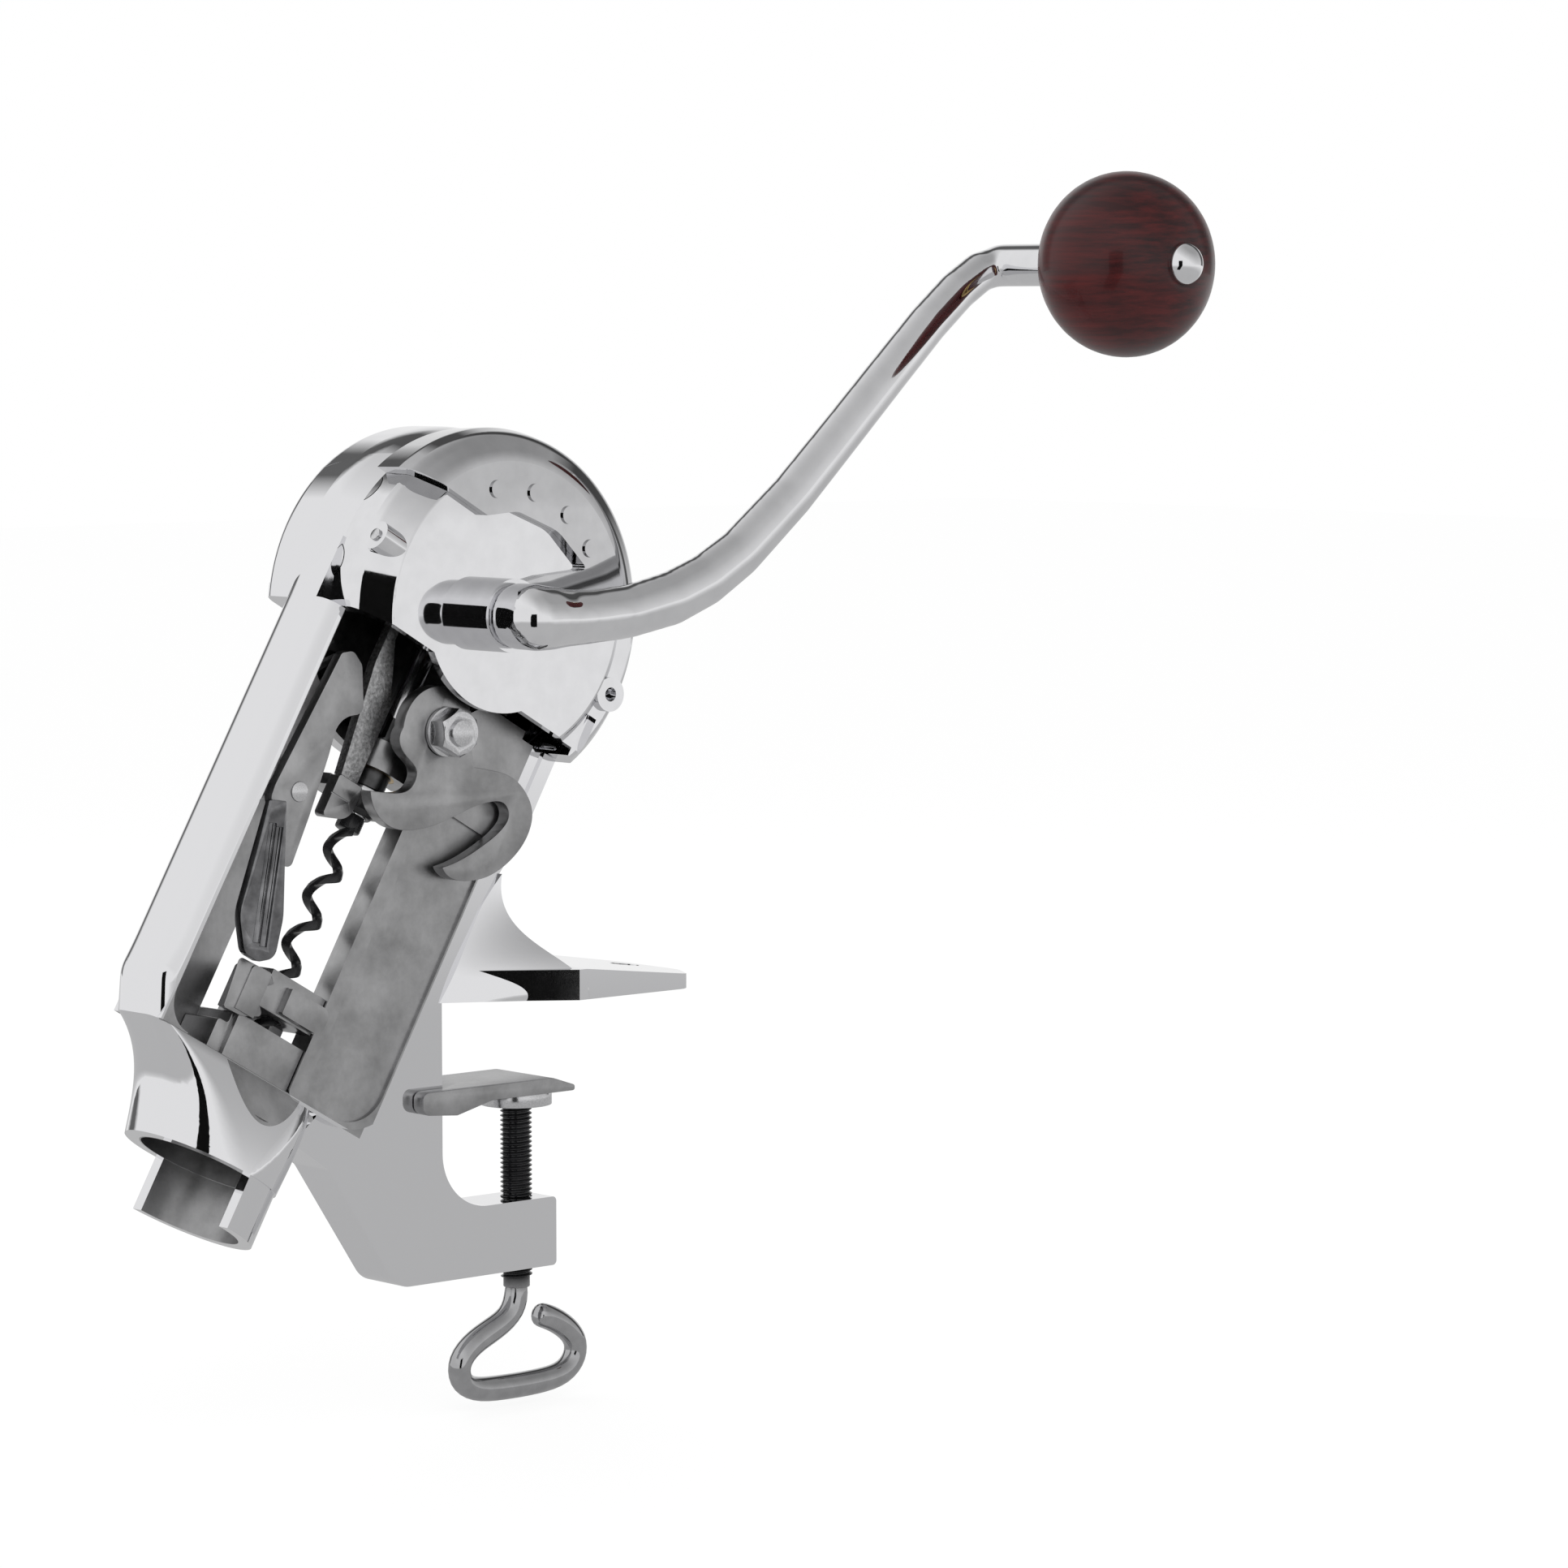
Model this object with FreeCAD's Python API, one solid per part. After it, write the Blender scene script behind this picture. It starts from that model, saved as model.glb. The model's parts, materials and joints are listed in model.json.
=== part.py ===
import FreeCAD, Part
import math
import os

# Counter mount corkscrew, all lengths in millimetres.
# World frame: +X goes in over the table, -Y is the crank side, +Z is up.
# The origin lies on the table top, on the axis of the clamp screw.
# Head, rails, bell and mechanism are drawn in a leaning frame: z runs up along the worm axis,
# x across it towards the table, y is shared, and the crank axis meets the worm axis at zero.

V = FreeCAD.Vector
X_AXIS = V(1, 0, 0)
Y_AXIS = V(0, 1, 0)
Z_AXIS = V(0, 0, 1)

# Placing of the leaning frame on the table
lean_degrees = 30.0
shaft_height = 119.6
shaft_reach = 28.3

# Clearances
seat_gap = 0.3
running_gap = 0.06
overrun = 1.0

# Crank drive: the worm lead and the gear ratio set the feed of the rack
worm_lead = 16.0
gear_ratio = 6

# Rails and window of the casting
frame_half = 12.0
rail_outer = 49.5
rail_inner = 42.0
rail_round = 6.0
rail_foot = 146.0
rail_foot_bulge = 0.5
rail_foot_rise = 8.0
rail_foot_sweep = 146.0
rail_foot_round = 12.0
window_floor = 157.7
window_corner = 10.0
window_toe = 0.3
back_wall_face = 7.5
back_wall_edge = -18.0

# Web plate right of the window
web_left = 10.5
web_right = 49.5
web_thickness = 5.0
web_rib_depth = 8.4
web_rib_width = 5.5
web_border = 5.5
web_recess = 1.0
web_top = 46.0
web_upper = 54.0
web_bend = 76.0
boss_round = 8.2
web_foot = 159.0
web_foot_round = 19.0
web_corner = 3.0
web_bend_round = 25.0
web_top_round = 8.0
wall = 5.0
stud_corner = 7.0
stud_step = 4.0
stud_foot = 14.0

# Gear head, round about an axis a little nearer the table than the crank axis
head_shift = 5.9
head_radius = 57.2
head_back = 23.5
head_back_round = 4.0
head_wall = 4.2
head_inner_round = 2.0
parting_depth = 6.0
parting_step = 3.2
parting_radius = head_radius - parting_step
head_open_below = 20.5
rear_hood_radius = head_radius - 0.1
rear_hood_shift_x = -0.45
rear_hood_shift_z = -0.72
rear_bush_radius = 8.5
hood_seam_back = 131.0
hood_seam_front = 115.0
tongue_radius = 5.6
tongue_angles = (134.0, 161.0)

# Cover
cover_face = 24.5
cover_flat_step = 13.0
cover_flat_radius = head_radius - cover_flat_step
cover_wall = 3.0
bevel_depth = 15.5
bevel_step = 1.4
bevel_radius = parting_radius - bevel_step
bevel_drop = 2.0
bevel_round = 3.0
disc_edge_round = 1.2
skirt_step = 0.4
skirt_round = 0.8
cover_chord = 20.5
cover_bump_radius = 30.5
boss_radius = 11.3
boss_length = 10.7
shaft_bush_radius = 8.0
lug_radius = 4.6
lug_length = 12.0
lug_reach = 53.2
lug_depth = 19.8
lug_drop = 1.5
eyelet_reach = 49.2
eyelet_drop = 2.4
eyelet_radius = 5.4
eyelet_hole = 2.2
cover_rim_step = 0.2
cover_rim_radius = head_radius - cover_rim_step
cover_rim_foot = 23.2
cover_rim_left = 44.5
slot_width = 4.0
slot_start = 9.0
slot_end = 21.0
rim_inset = 1.5
rim_step = 2.0
rim_flat = 4.0
rim_drop = 7.0
rim_round = 3.0

# Raised hood on the cover
hood_wall = 1.8
hood_radius = parting_radius + hood_wall
hood_shift_x = -2.4
hood_shift_z = -0.2
hood_line = 3.0
hood_face = 27.5
hood_rim_depth = 17.0
hood_round = 8.0
hood_boss_angles = (96.0, 73.0, 50.0, 29.0)
hood_boss_reach = 37.5
hood_boss_radius = 2.8
hood_boss_height = 0.7
hood_boss_root = 2.0
hood_face_round = 7.0
hood_shoulder = 1.6
hood_shoulder_drop = 4.0
hood_shoulder_round = 6.0
hood_rim_round = 4.0
hood_rim_step = 0.4
hood_area = 50.0

# Bell that takes the bottle neck
bell_radius = 24.0
bell_bore = 19.3
skirt_bore = 19.7
bell_height = 29.8
skirt_length = 17.2
bell_lip = window_floor + bell_height
bell_end = bell_lip + skirt_length
bell_half_plane = 1.0
bell_lip_grow = 0.3
bell_squeeze = 0.4
bell_top_round = 7.0
bell_upper_round = 12.0
bell_lower_round = 18.0
neck_floor = 12.3
neck_seat = window_floor + neck_floor
neck_mouth = 15.5
neck_mouth_depth = 6.0
cork_channel = 9.8
neck_block_top = 144.0
neck_block_face = 11.0
neck_block_left = 22.0
block_step = 4.0
block_setback = 2.0
block_round = 1.0
block_top_round = 0.8

# Clamp body and foot, measured from the throat wall
screw_reach = 36.4
clamp_half = 8.75
clamp_bell_bite = 2.0
clamp_bell_drop = 12.0
clamp_web_level = 110.0
clamp_web_slope_x = 12.0
clamp_web_slope_z = 10.0
clamp_toe = 18.0
clamp_toe_round = 9.0
clamp_heel = 44.0
clamp_heel_level = 48.0
clamp_heel_round = 4.0
clamp_edge = 1.5
throat_depth = 65.6
throat_round = 18.0
arm_reach = 45.5
arm_thickness = 21.8
foot_half_width = 35.5
foot_root_half = 11.0
foot_side_round = 6.0
foot_tip_round = 14.0
foot_flat = 3.0
saddle_overlap = 6.0
saddle_step = 3.0
saddle_size = 40.0
foot_flare_reach = 33.0
foot_reach = 92.0
foot_side_reach = 77.0
foot_height = 9.5
foot_tip_height = 2.8
foot_hole_margin = 10.0
foot_hole_reach = foot_reach - foot_hole_margin
foot_hole = 2.6
foot_sink = 4.8
foot_land = 1.8

# Crank
rivet_radius = 1.9
rivet_head = 0.8
shaft_radius = 6.0
shaft_short = 6.0
shaft_tail = 4.0
bush_flange = 2.5
bush_flange_depth = 1.4
circlip_rim = 2.2
circlip_start = 1.6
circlip_end = 2.8
arm_plane = 45.5
arm_size = 100.0
hub_radius = 10.2
knob_radius = 29.4
knob_half_length = 26.0
knob_plane = 103.0
knob_pin_radius = 4.0
knob_cap_radius = 6.8
knob_cap_edge = 1.2
knob_cap_shoulder = 4.6
knob_cap_height = 5.2
knob_cap_rim_round = 0.4
knob_cap_round = 3.0
knob_washer_rim = 1.5
knob_bulge_share = 0.97
neck_radius = 7.0

# Gears
module = 1.4
pinion_teeth = 10
face_width = 7.0
feed_teeth = 16
feed_depth = 6.5
feed_width = 4.4
rack_depth = 6.25
rack_thickness = 3.7
rack_back = 3.5
rack_low_left = 16.0
rack_low_right = 9.2
rack_top = 47.0
rack_teeth = 10
rack_low_top = 19.0
crown_thickness = 2.2
crown_hub_radius = 11.0
tooth_share = 0.42
addendum_share = 0.9
dedendum_share = 1.25
tip_share = 0.26
face_tip_share = 0.3
root_share = 0.72
key_half = 0.9
key_bite = 1.3
key_start = 0.7
key_end = 5.0
rack_lead = 2.0
rack_tooth_share = 2.5
rack_bend = 8.0

# Spindle and worm
spindle_radius = 4.0
spindle_top = 7.0
pinion_hub_radius = 6.2
pinion_hub_end = 61.5
bridge_top = 47.0
bridge_height = 9.0
bridge_radius = 8.6
bush_radius = 7.4
carriage_top = 64.2
carriage_height = 3.6
carriage_left = 17.0
carriage_face = 8.9
carriage_nose = 78.6
carriage_wing = 9.0
carriage_tongue = 7.0
nose_width = 10.0
nose_rise = 3.6
nose_depth = 4.6
nose_round = 1.0
nose_tip_round = 1.5
nose_bend = 6.0
groove_low = 2.8
groove_high = 2.4
groove_depth = 0.5
collar_radius = 6.4
collar_height = 6.2
collar_chamfer = 1.2
collar_edge = 1.6
slot_half = 1.1
slot_depth = 1.6
slot_foot = 3.0
thrust_gap = 0.5
worm_core = 1.7
worm_outer = 4.75
worm_tip = 152.0
worm_phase = -12.4
wire_half = 1.7
shank_length = 5.0

# Guide of the worm and its jaw
guide_left = 12.0
guide_height = 15.0
guide_top_lip = 2.0
guide_leg = 5.0
guide_clearance = 0.8
tab_left = 5.0
tab_right = 11.6
tab_foot = 5.6
tab_round = 3.2
tab_edge_round = 0.6
tab_thickness = 2.0
jaw_size = 40.0
jaw_face = 11.0
jaw_root = 3.0

# Trip lever and its stud
trip_x = 5.6
trip_z = 37.7
lever_thickness = 5.0
lever_size = 50.0
stud_radius = 4.0
washer_thickness = 1.4
nut_height = 6.5
nut_flats = 13.0
nut_chamfer = 0.9

# Latch lever
latch_x = 30.3
latch_z = 76.7
latch_thickness = 3.6
latch_pin_radius = 3.0
leaf_thickness = 3.0
leaf_groove = 1.4

# Clamp screw
screw_radius = 5.0
screw_flange_radius = 11.3
plate_top = 27.0
plate_thickness = 4.8
flange_thickness = 4.2
plate_half = 14.0
prong_reach = 11.6
prong_round = 2.5
prong_low_round = 3.0
heel_start = 2.0
prong_drop = 2.2
heel_drop = 3.4
heel_end = 16.0
heel_round = 10.0
plate_reach = 49.0
tip_drop = 3.0
tip_slope = 9.0
tip_round = 0.8
tip_bend = 6.0
eye_wire = 3.9
eye_size = 50.0
screw_tail = 7.0
screw_seat = 2.0


# General shapes

def corner_points(points):
    """Edges of an outline whose corners are points with a radius each."""
    count = len(points)
    starts = []
    for i in range(count):
        here = points[i][0]
        radius = points[i][1]
        to_last = (points[i - 1][0] - here).normalize()
        to_next = (points[(i + 1) % count][0] - here).normalize()
        if radius <= 0:
            starts.append((here, None, here))
            continue
        half = to_last.getAngle(to_next) / 2
        reach = radius / math.tan(half)
        centre = here + (to_last + to_next).normalize() * (radius / math.sin(half))
        middle = centre + (here - centre).normalize() * radius
        starts.append((here + to_last * reach, middle, here + to_next * reach))
    return starts


def outline(points, closed=True):
    """Wire through corner points, each rounded by its own radius."""
    corners = corner_points(points)
    if not closed:
        corners[0] = (points[0][0], None, points[0][0])
        corners[-1] = (points[-1][0], None, points[-1][0])
    edges = []
    count = len(corners)
    for i in range(count):
        first, middle, last = corners[i]
        if middle is not None:
            edges.append(Part.Arc(first, middle, last).toShape())
        if i == count - 1 and not closed:
            break
        following = corners[(i + 1) % count][0]
        if last.distanceToPoint(following) > 1e-6:
            edges.append(Part.makeLine(last, following))
    return Part.Wire(edges)


def plate(points, near, far):
    """Plate cut to an outline of (x, z, radius), from y = -near to y = -far."""
    corners = [(V(p[0], -near, p[1]), p[2] if len(p) > 2 else 0) for p in points]
    face = Part.Face(outline(corners))
    return face.extrude(V(0, near - far, 0))


def slab(points, low, high):
    """Flat plate cut to an outline of (x, y, radius), from z = low to z = high."""
    corners = [(V(p[0], p[1], low), p[2] if len(p) > 2 else 0) for p in points]
    return Part.Face(outline(corners)).extrude(V(0, 0, high - low))


def block(x0, x1, y0, y1, z0, z1):
    """Box between two corners."""
    return Part.makeBox(x1 - x0, y1 - y0, z1 - z0, V(x0, y0, z0))


def pin_y(x, z, radius, y0, y1):
    """Round bar along Y."""
    return Part.makeCylinder(radius, y1 - y0, V(x, y0, z), Y_AXIS)


def post(radius, z0, z1, x=0, y=0):
    """Round bar along Z."""
    return Part.makeCylinder(radius, z1 - z0, V(x, y, z0), Z_AXIS)


def turned_y(profile, x, z):
    """Solid of revolution about a line along Y, from (radius, y, corner radius) points."""
    corners = [(V(x + p[0], p[1], z), p[2] if len(p) > 2 else 0) for p in profile]
    return Part.Face(outline(corners)).revolve(V(x, 0, z), Y_AXIS, 360)


def turned_z(profile, x=0, y=0):
    """Solid of revolution about a line along Z, from (radius, z) points."""
    points = [V(x + r, y, z) for r, z in profile]
    face = Part.Face(Part.makePolygon(points + [points[0]]))
    return face.revolve(V(x, y, 0), Z_AXIS, 360)


def rounded(shape, radius, chooser):
    """Fillet on the edges that the chooser picks."""
    edges = [e for e in shape.Edges if chooser(e)]
    return shape.makeFillet(radius, edges) if edges else shape


def scaled(shares, size, x=0, z=0):
    """Outline points about a place, from shares of one size."""
    points = []
    for row in shares:
        rounds = tuple(share * size for share in row[2:])
        points.append((x + row[0] * size, z + row[1] * size) + rounds)
    return points


def stand(shape):
    """Moves a shape from the leaning frame to the world frame."""
    turn = FreeCAD.Rotation(Y_AXIS, lean_degrees)
    placed = shape.copy()
    placed.Placement = FreeCAD.Placement(V(-shaft_reach, 0, shaft_height), turn)
    return placed


def tidy(shape):
    """One clean solid, or a compound of them."""
    return shape.removeSplitter()


# Head centre in the leaning frame
lean = math.radians(lean_degrees)
head_x = head_shift * math.cos(lean)
head_z = head_shift * math.sin(lean)


def to_world(x, z):
    """World coordinates of a leaning place given by x and z."""
    return (x * math.cos(lean) + z * math.sin(lean) - shaft_reach,
            z * math.cos(lean) - x * math.sin(lean) + shaft_height)


# Casting

def outer_edge(edge):
    """True for the long outer edges of the rail on the front and back sides."""
    box = edge.BoundBox
    on_side = box.YLength < seat_gap and frame_half - abs(box.YMin) < seat_gap
    return on_side and box.XMax < -rail_inner - seat_gap and box.ZLength > overrun


def below(level):
    """Everything below a level of the leaning frame."""
    reach = bell_end + rail_outer
    return block(-reach, reach, -reach, reach, -reach * 2, level)


def rail_form():
    """Left rail with its rounded outer side and the round corner above the bell."""
    foot = -rail_foot
    floor = -window_floor
    points = [
        (-rail_outer, 0),
        (-rail_outer, foot + rail_foot_rise, rail_foot_sweep),
        (-rail_outer - rail_foot_bulge, foot, rail_foot_round),
        (-rail_outer + wall, floor),
        (-rail_inner, floor),
        (-rail_inner, 0),
    ]
    rail = plate(points, frame_half, -frame_half)
    rail = rounded(rail, rail_round, outer_edge)
    reach = window_corner - rail_inner
    corner = block(-rail_inner - overrun, reach, -frame_half, frame_half, floor, floor + window_corner)
    hollow = pin_y(reach, floor + window_corner + window_toe, window_corner, -frame_half * 2, frame_half * 2)
    above_chord = block(-rail_outer * 2, 0, -frame_half * 2, -parting_depth, -cover_chord - seat_gap, overrun)
    return rail.fuse(corner.cut(hollow)).cut(above_chord)


def left_rail():
    """Rail of the casting below the gear case."""
    return stand(tidy(rail_form().common(below(-head_open_below))))


def back_wall():
    """Wall behind the mechanism, from the gear case to the floor of the window."""
    wall_form = block(-rail_inner, back_wall_edge, back_wall_face, frame_half,
                      -window_floor, -head_open_below)
    hole = pin_y(-latch_x, -latch_z, latch_pin_radius, 0, frame_half - overrun)
    return stand(tidy(wall_form.cut([rail_form(), guard_form(), hole])))


def web_zone(near, far):
    """Outline of the web and its outer wall, between two depths."""
    return plate([
        (web_left, -web_top),
        (web_left, -web_foot, web_corner),
        (web_right, -web_foot, web_foot_round),
        (web_right, -web_bend, web_bend_round),
        (web_upper, -web_top, web_top_round),
        (web_upper, -head_open_below),
        (web_upper - wall, -head_open_below),
        (web_upper - wall, -web_top),
    ], near, far)


def web():
    """Flat web right of the window with its raised border and outer wall."""
    sheet = web_zone(frame_half, frame_half - web_thickness)
    rib = block(web_left, web_left + web_rib_width, -frame_half, web_rib_depth - frame_half,
                -web_foot + web_border, -web_top)
    outer = plate([
        (web_right - wall, -web_foot + web_foot_round),
        (web_right, -web_foot + web_foot_round),
        (web_right, -web_bend, web_bend_round),
        (web_upper, -web_top, web_top_round),
        (web_upper, -head_open_below),
        (web_upper - wall, -head_open_below),
        (web_upper - wall, -web_top, web_top_round / 2),
        (web_right - wall, -web_bend, web_bend_round - wall),
    ], frame_half, -frame_half)
    inset = web_border
    recess = plate([
        (web_left + inset, -web_top - inset * 2, web_corner),
        (web_left + inset, -web_foot + overrun, web_top_round),
        (web_right - inset, -web_foot + inset / 2, web_foot_round - inset),
        (web_right - inset, -web_top - inset * 2, web_corner),
    ], frame_half + overrun, frame_half - web_recess)
    return sheet.fuse([rib, outer]).cut(recess)


def rim_notch():
    """Room that the casting leaves for the rim of the cover."""
    return block(web_right - wall * 2, web_upper + overrun, -frame_half - overrun, -parting_depth + seat_gap,
                 -cover_rim_foot - seat_gap, 0)


def stud_plate():
    """Upper part of the web that carries the boss of the trip lever."""
    back = pinion_tip() + overrun
    sheet = plate([
        (trip_x - boss_round, -trip_z + boss_round, stud_corner),
        (trip_x - boss_round, -trip_z - boss_round, stud_corner),
        (web_left, -web_top - stud_step),
        (web_left, -web_top - stud_foot),
        (web_right, -web_top - stud_foot),
        (web_upper - overrun, -head_open_below - seat_gap),
        (trip_x + boss_round * 2, -head_open_below - seat_gap, stud_step),
        (trip_x + boss_round, -trip_z + boss_round, stud_step),
    ], frame_half - overrun, back)
    boss = pin_y(trip_x, -trip_z, boss_round, -frame_half - overrun, -back)
    return sheet.fuse(boss)


def bridge():
    """Bearing boss of the pinion, cast to the web."""
    low = -bridge_top - bridge_height
    arm = block(0, web_left + wall / 2, -bridge_radius, wall, low, -bridge_top)
    return post(bridge_radius, low, -bridge_top).fuse(arm)


def bell_section(level, left, right, half, radius):
    """Rounded rectangle across the bell at one level."""
    points = [(-left, -half), (right, -half), (right, half), (-left, half)]
    return outline([(V(x, y, -level), radius) for x, y in points])


def bell():
    """Bell lofted from the foot of the rails to a round lip, and its half skirt."""
    drop = bell_lip - window_floor
    lip = bell_radius + bell_lip_grow
    sections = [
        bell_section(window_floor, rail_outer - wall, bell_radius - bell_squeeze, frame_half, bell_top_round),
        bell_section(window_floor + drop * 0.3, rail_outer * 0.64, bell_radius, frame_half * 1.45,
                     bell_upper_round),
        bell_section(window_floor + drop * 0.62, rail_outer * 0.54, bell_radius, frame_half * 1.8,
                     bell_lower_round),
        bell_section(bell_lip, lip, lip, lip, lip - bell_lip_grow * 2),
    ]
    horn = Part.makeLoft(sections, True, False)
    skirt = post(bell_radius, -bell_end, -bell_lip)
    reach = bell_radius + overrun
    cut_away = block(-reach, bell_half_plane, -reach, reach, -bell_end - overrun, -bell_lip)
    return horn.fuse(skirt.cut(cut_away))


def neck_bores():
    """Bore of the bell, seat of the bottle mouth and channel of the cork."""
    bore = post(bell_bore, -bell_lip - seat_gap, -neck_seat)
    skirt = post(skirt_bore, -bell_end - overrun, -bell_lip)
    mouth = post(neck_mouth, -neck_seat - overrun, -neck_seat + neck_mouth_depth)
    channel = post(cork_channel, -neck_seat - overrun, -window_floor + overrun)
    return bore.fuse([skirt, mouth, channel])


def neck_block():
    """Satin block on the window floor through which the cork rises."""
    step = neck_block_left - block_step
    body = block(-step + overrun, web_left - seat_gap, -neck_block_face, neck_block_face,
                 -window_floor, -neck_block_top)
    left = plate([
        (-neck_block_left, -window_floor),
        (-neck_block_left, -neck_block_top - block_step, block_round),
        (-step, -neck_block_top - block_step, block_round),
        (-step, -neck_block_top, block_top_round),
        (-step + overrun * 2, -neck_block_top),
        (-step + overrun * 2, -window_floor),
    ], neck_block_face - block_setback, -back_wall_face + seat_gap)
    bore = post(cork_channel, -window_floor - overrun, -neck_block_top + overrun)
    return stand(tidy(body.fuse(left).cut(bore)))


def pinion_tip():
    """Tip radius of the spindle pinion."""
    return module * (pinion_teeth / 2 + addendum_share)


def drum(radius, x, z):
    """Back shell of the gear head: ring, rounded back edge and back wall."""
    inner = radius - head_wall
    return turned_y([
        (0, head_back),
        (radius, head_back, head_back_round),
        (radius, parting_depth, head_back),
        (parting_radius, -parting_depth),
        (parting_radius - cover_wall, -parting_depth),
        (inner, parting_depth / 2, head_back),
        (inner, head_back - head_wall, head_inner_round),
        (0, head_back - head_wall),
    ], x, z)


def tongues(radius):
    """Round tongues of the casting that key the skirt of the cover."""
    pins = []
    for angle in tongue_angles:
        turn = math.radians(angle + lean_degrees)
        ray = V(math.cos(turn), 0, math.sin(turn))
        start = V(head_x, -parting_depth / 2, head_z) + ray * (parting_radius - head_wall)
        pins.append(Part.makeCylinder(radius, head_wall * 2, start, ray))
    ring = pin_y(head_x, head_z, parting_radius, -bevel_depth, 0)
    return pins[0].fuse(pins[1:]).common(ring)


def hood_wedge():
    """Sector of the head that the rear hood takes, its seam aslant."""
    reach = head_radius * 2
    wires = []
    for y, angle in ((head_back + overrun, hood_seam_back), (-parting_depth, hood_seam_front)):
        corners = [V(head_x, y, head_z)]
        for share in (0, 0.25, 0.5, 0.75, 1):
            turn = math.radians(angle + lean_degrees - share * angle)
            corners.append(V(head_x + reach * math.cos(turn), y, head_z + reach * math.sin(turn)))
        wires.append(Part.makePolygon(corners + [corners[0]]))
    wedge = Part.makeLoft(wires, True, True)
    core = head_radius - head_wall * 2
    return wedge.cut(pin_y(head_x, head_z, core, -head_radius, head_radius))


def rear_hood():
    """Top shell of the gear head behind the cover."""
    shell = drum(rear_hood_radius, head_x + rear_hood_shift_x, head_z + rear_hood_shift_z)
    return stand(tidy(shell.common(hood_wedge())))


def guard_form():
    """Round back of the casting behind the crown gear, below the chord of the head."""
    reach = head_radius * 2
    depth = pinion_tip() + wall
    guard = pin_y(0, 0, crown_reach() + overrun + head_wall, back_wall_face, depth + head_wall)
    return guard.common(block(-rail_inner, web_upper - wall, 0, reach, -reach, -head_open_below + head_wall))


def crown_room():
    """Room in which the crown gear turns."""
    return pin_y(0, 0, crown_reach() + overrun, pinion_tip() - module * 2 - overrun, pinion_tip() + wall)


def gear_case():
    """Back shell of the head cut at its chord, with its floor, gear guard and the root of the rail."""
    reach = head_radius * 2
    chord = below(-head_open_below)
    shell = drum(head_radius, head_x, head_z).cut(hood_wedge()).cut(chord)
    floor = block(-reach, reach, pinion_tip() + wall, head_back - overrun, -head_open_below,
                  -head_open_below + head_wall)
    floor = floor.common(pin_y(head_x, head_z, head_radius - overrun, 0, head_back))
    case = shell.fuse([floor, guard_form(), tongues(tongue_radius), rail_form().cut(chord)])
    return stand(tidy(case.cut([crown_room(), pin_y(0, 0, rear_bush_radius, 0, head_back + overrun)])))


def web_panel():
    """Web of the casting with the boss of the trip lever and the bearing of the pinion."""
    low = -bridge_top - bridge_height
    root = clamp_body().common(stand(web_zone(frame_half, -frame_half)))
    panel = stand(web().fuse([stud_plate(), bridge()]).cut([
        rim_notch(),
        guard_form(),
        post(bush_radius, low - overrun, -bridge_top + overrun),
        crown_room(),
        pin_y(trip_x, -trip_z, stud_radius, -frame_half * 2, 0),
    ]))
    return tidy(panel.fuse(root))


def bottle_bell():
    """Bell of the casting that takes the neck of the bottle."""
    return stand(tidy(bell().cut([neck_bores(), web_zone(frame_half * 2, -frame_half * 2)])))


def clamp_arm():
    """Lower arm of the casting that holds the clamp screw."""
    low = -throat_depth - arm_thickness
    thread = post(screw_radius + running_gap, low - overrun, -throat_depth + overrun)
    root = foot().common(behind_throat())
    return tidy(clamp_body().fuse(root).cut([web_room(), stand(bell()), thread]))


def web_room():
    """Place of the web and its outer wall, over the whole width of the foot."""
    return stand(web_zone(foot_half_width, -foot_half_width))


def behind_throat():
    """Everything behind the throat wall, away from the table."""
    reach = foot_reach * 2
    return block(-screw_reach - reach, -screw_reach, -reach, reach, -reach, reach)


def foot_flange():
    """Foot of the casting that lies on the table top."""
    return tidy(foot().cut([web_room(), behind_throat()] + foot_cuts()))


def clamp_body():
    """C shaped clamp body below the table top."""
    x0 = -screw_reach
    left_x, left_z = to_world(bell_radius - clamp_bell_bite, -window_floor - clamp_bell_drop)
    top_x, top_z = to_world(web_right - wall, -clamp_web_level)
    low = -throat_depth - arm_thickness
    return plate([
        (x0, 0),
        (x0, -throat_depth, throat_round),
        (x0 + arm_reach, -throat_depth, clamp_edge),
        (x0 + arm_reach, low, clamp_edge),
        (x0 - clamp_toe, low, clamp_toe_round),
        (x0 - clamp_heel, -clamp_heel_level, clamp_heel_round),
        (left_x, left_z),
        (top_x - clamp_web_slope_x, top_z - clamp_web_slope_z),
        (top_x, 0),
    ], clamp_half, -clamp_half)


def foot():
    """Flared saddle and flat flange that lie on the table top."""
    x0 = -screw_reach
    edge = [
        (x0, -foot_root_half),
        (x0 + foot_flare_reach, -foot_half_width),
        (x0 + foot_side_reach, -foot_half_width, foot_side_round),
        (x0 + foot_reach, -foot_half_width * 0.4, foot_tip_round),
        (x0 + foot_reach, foot_half_width * 0.4, foot_tip_round),
        (x0 + foot_side_reach, foot_half_width, foot_side_round),
        (x0 + foot_flare_reach, foot_half_width),
        (x0, foot_root_half),
    ]
    flange = slab(edge, 0, foot_height)
    start = x0 + foot_flare_reach + foot_flat
    end = x0 + foot_reach + overrun
    slope = [(start, foot_height), (end, foot_tip_height), (end, foot_height * 3), (start, foot_height * 3)]
    flange = flange.cut(plate(slope, foot_half_width + overrun, -foot_half_width - overrun))
    return flange.fuse(saddle())


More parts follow.
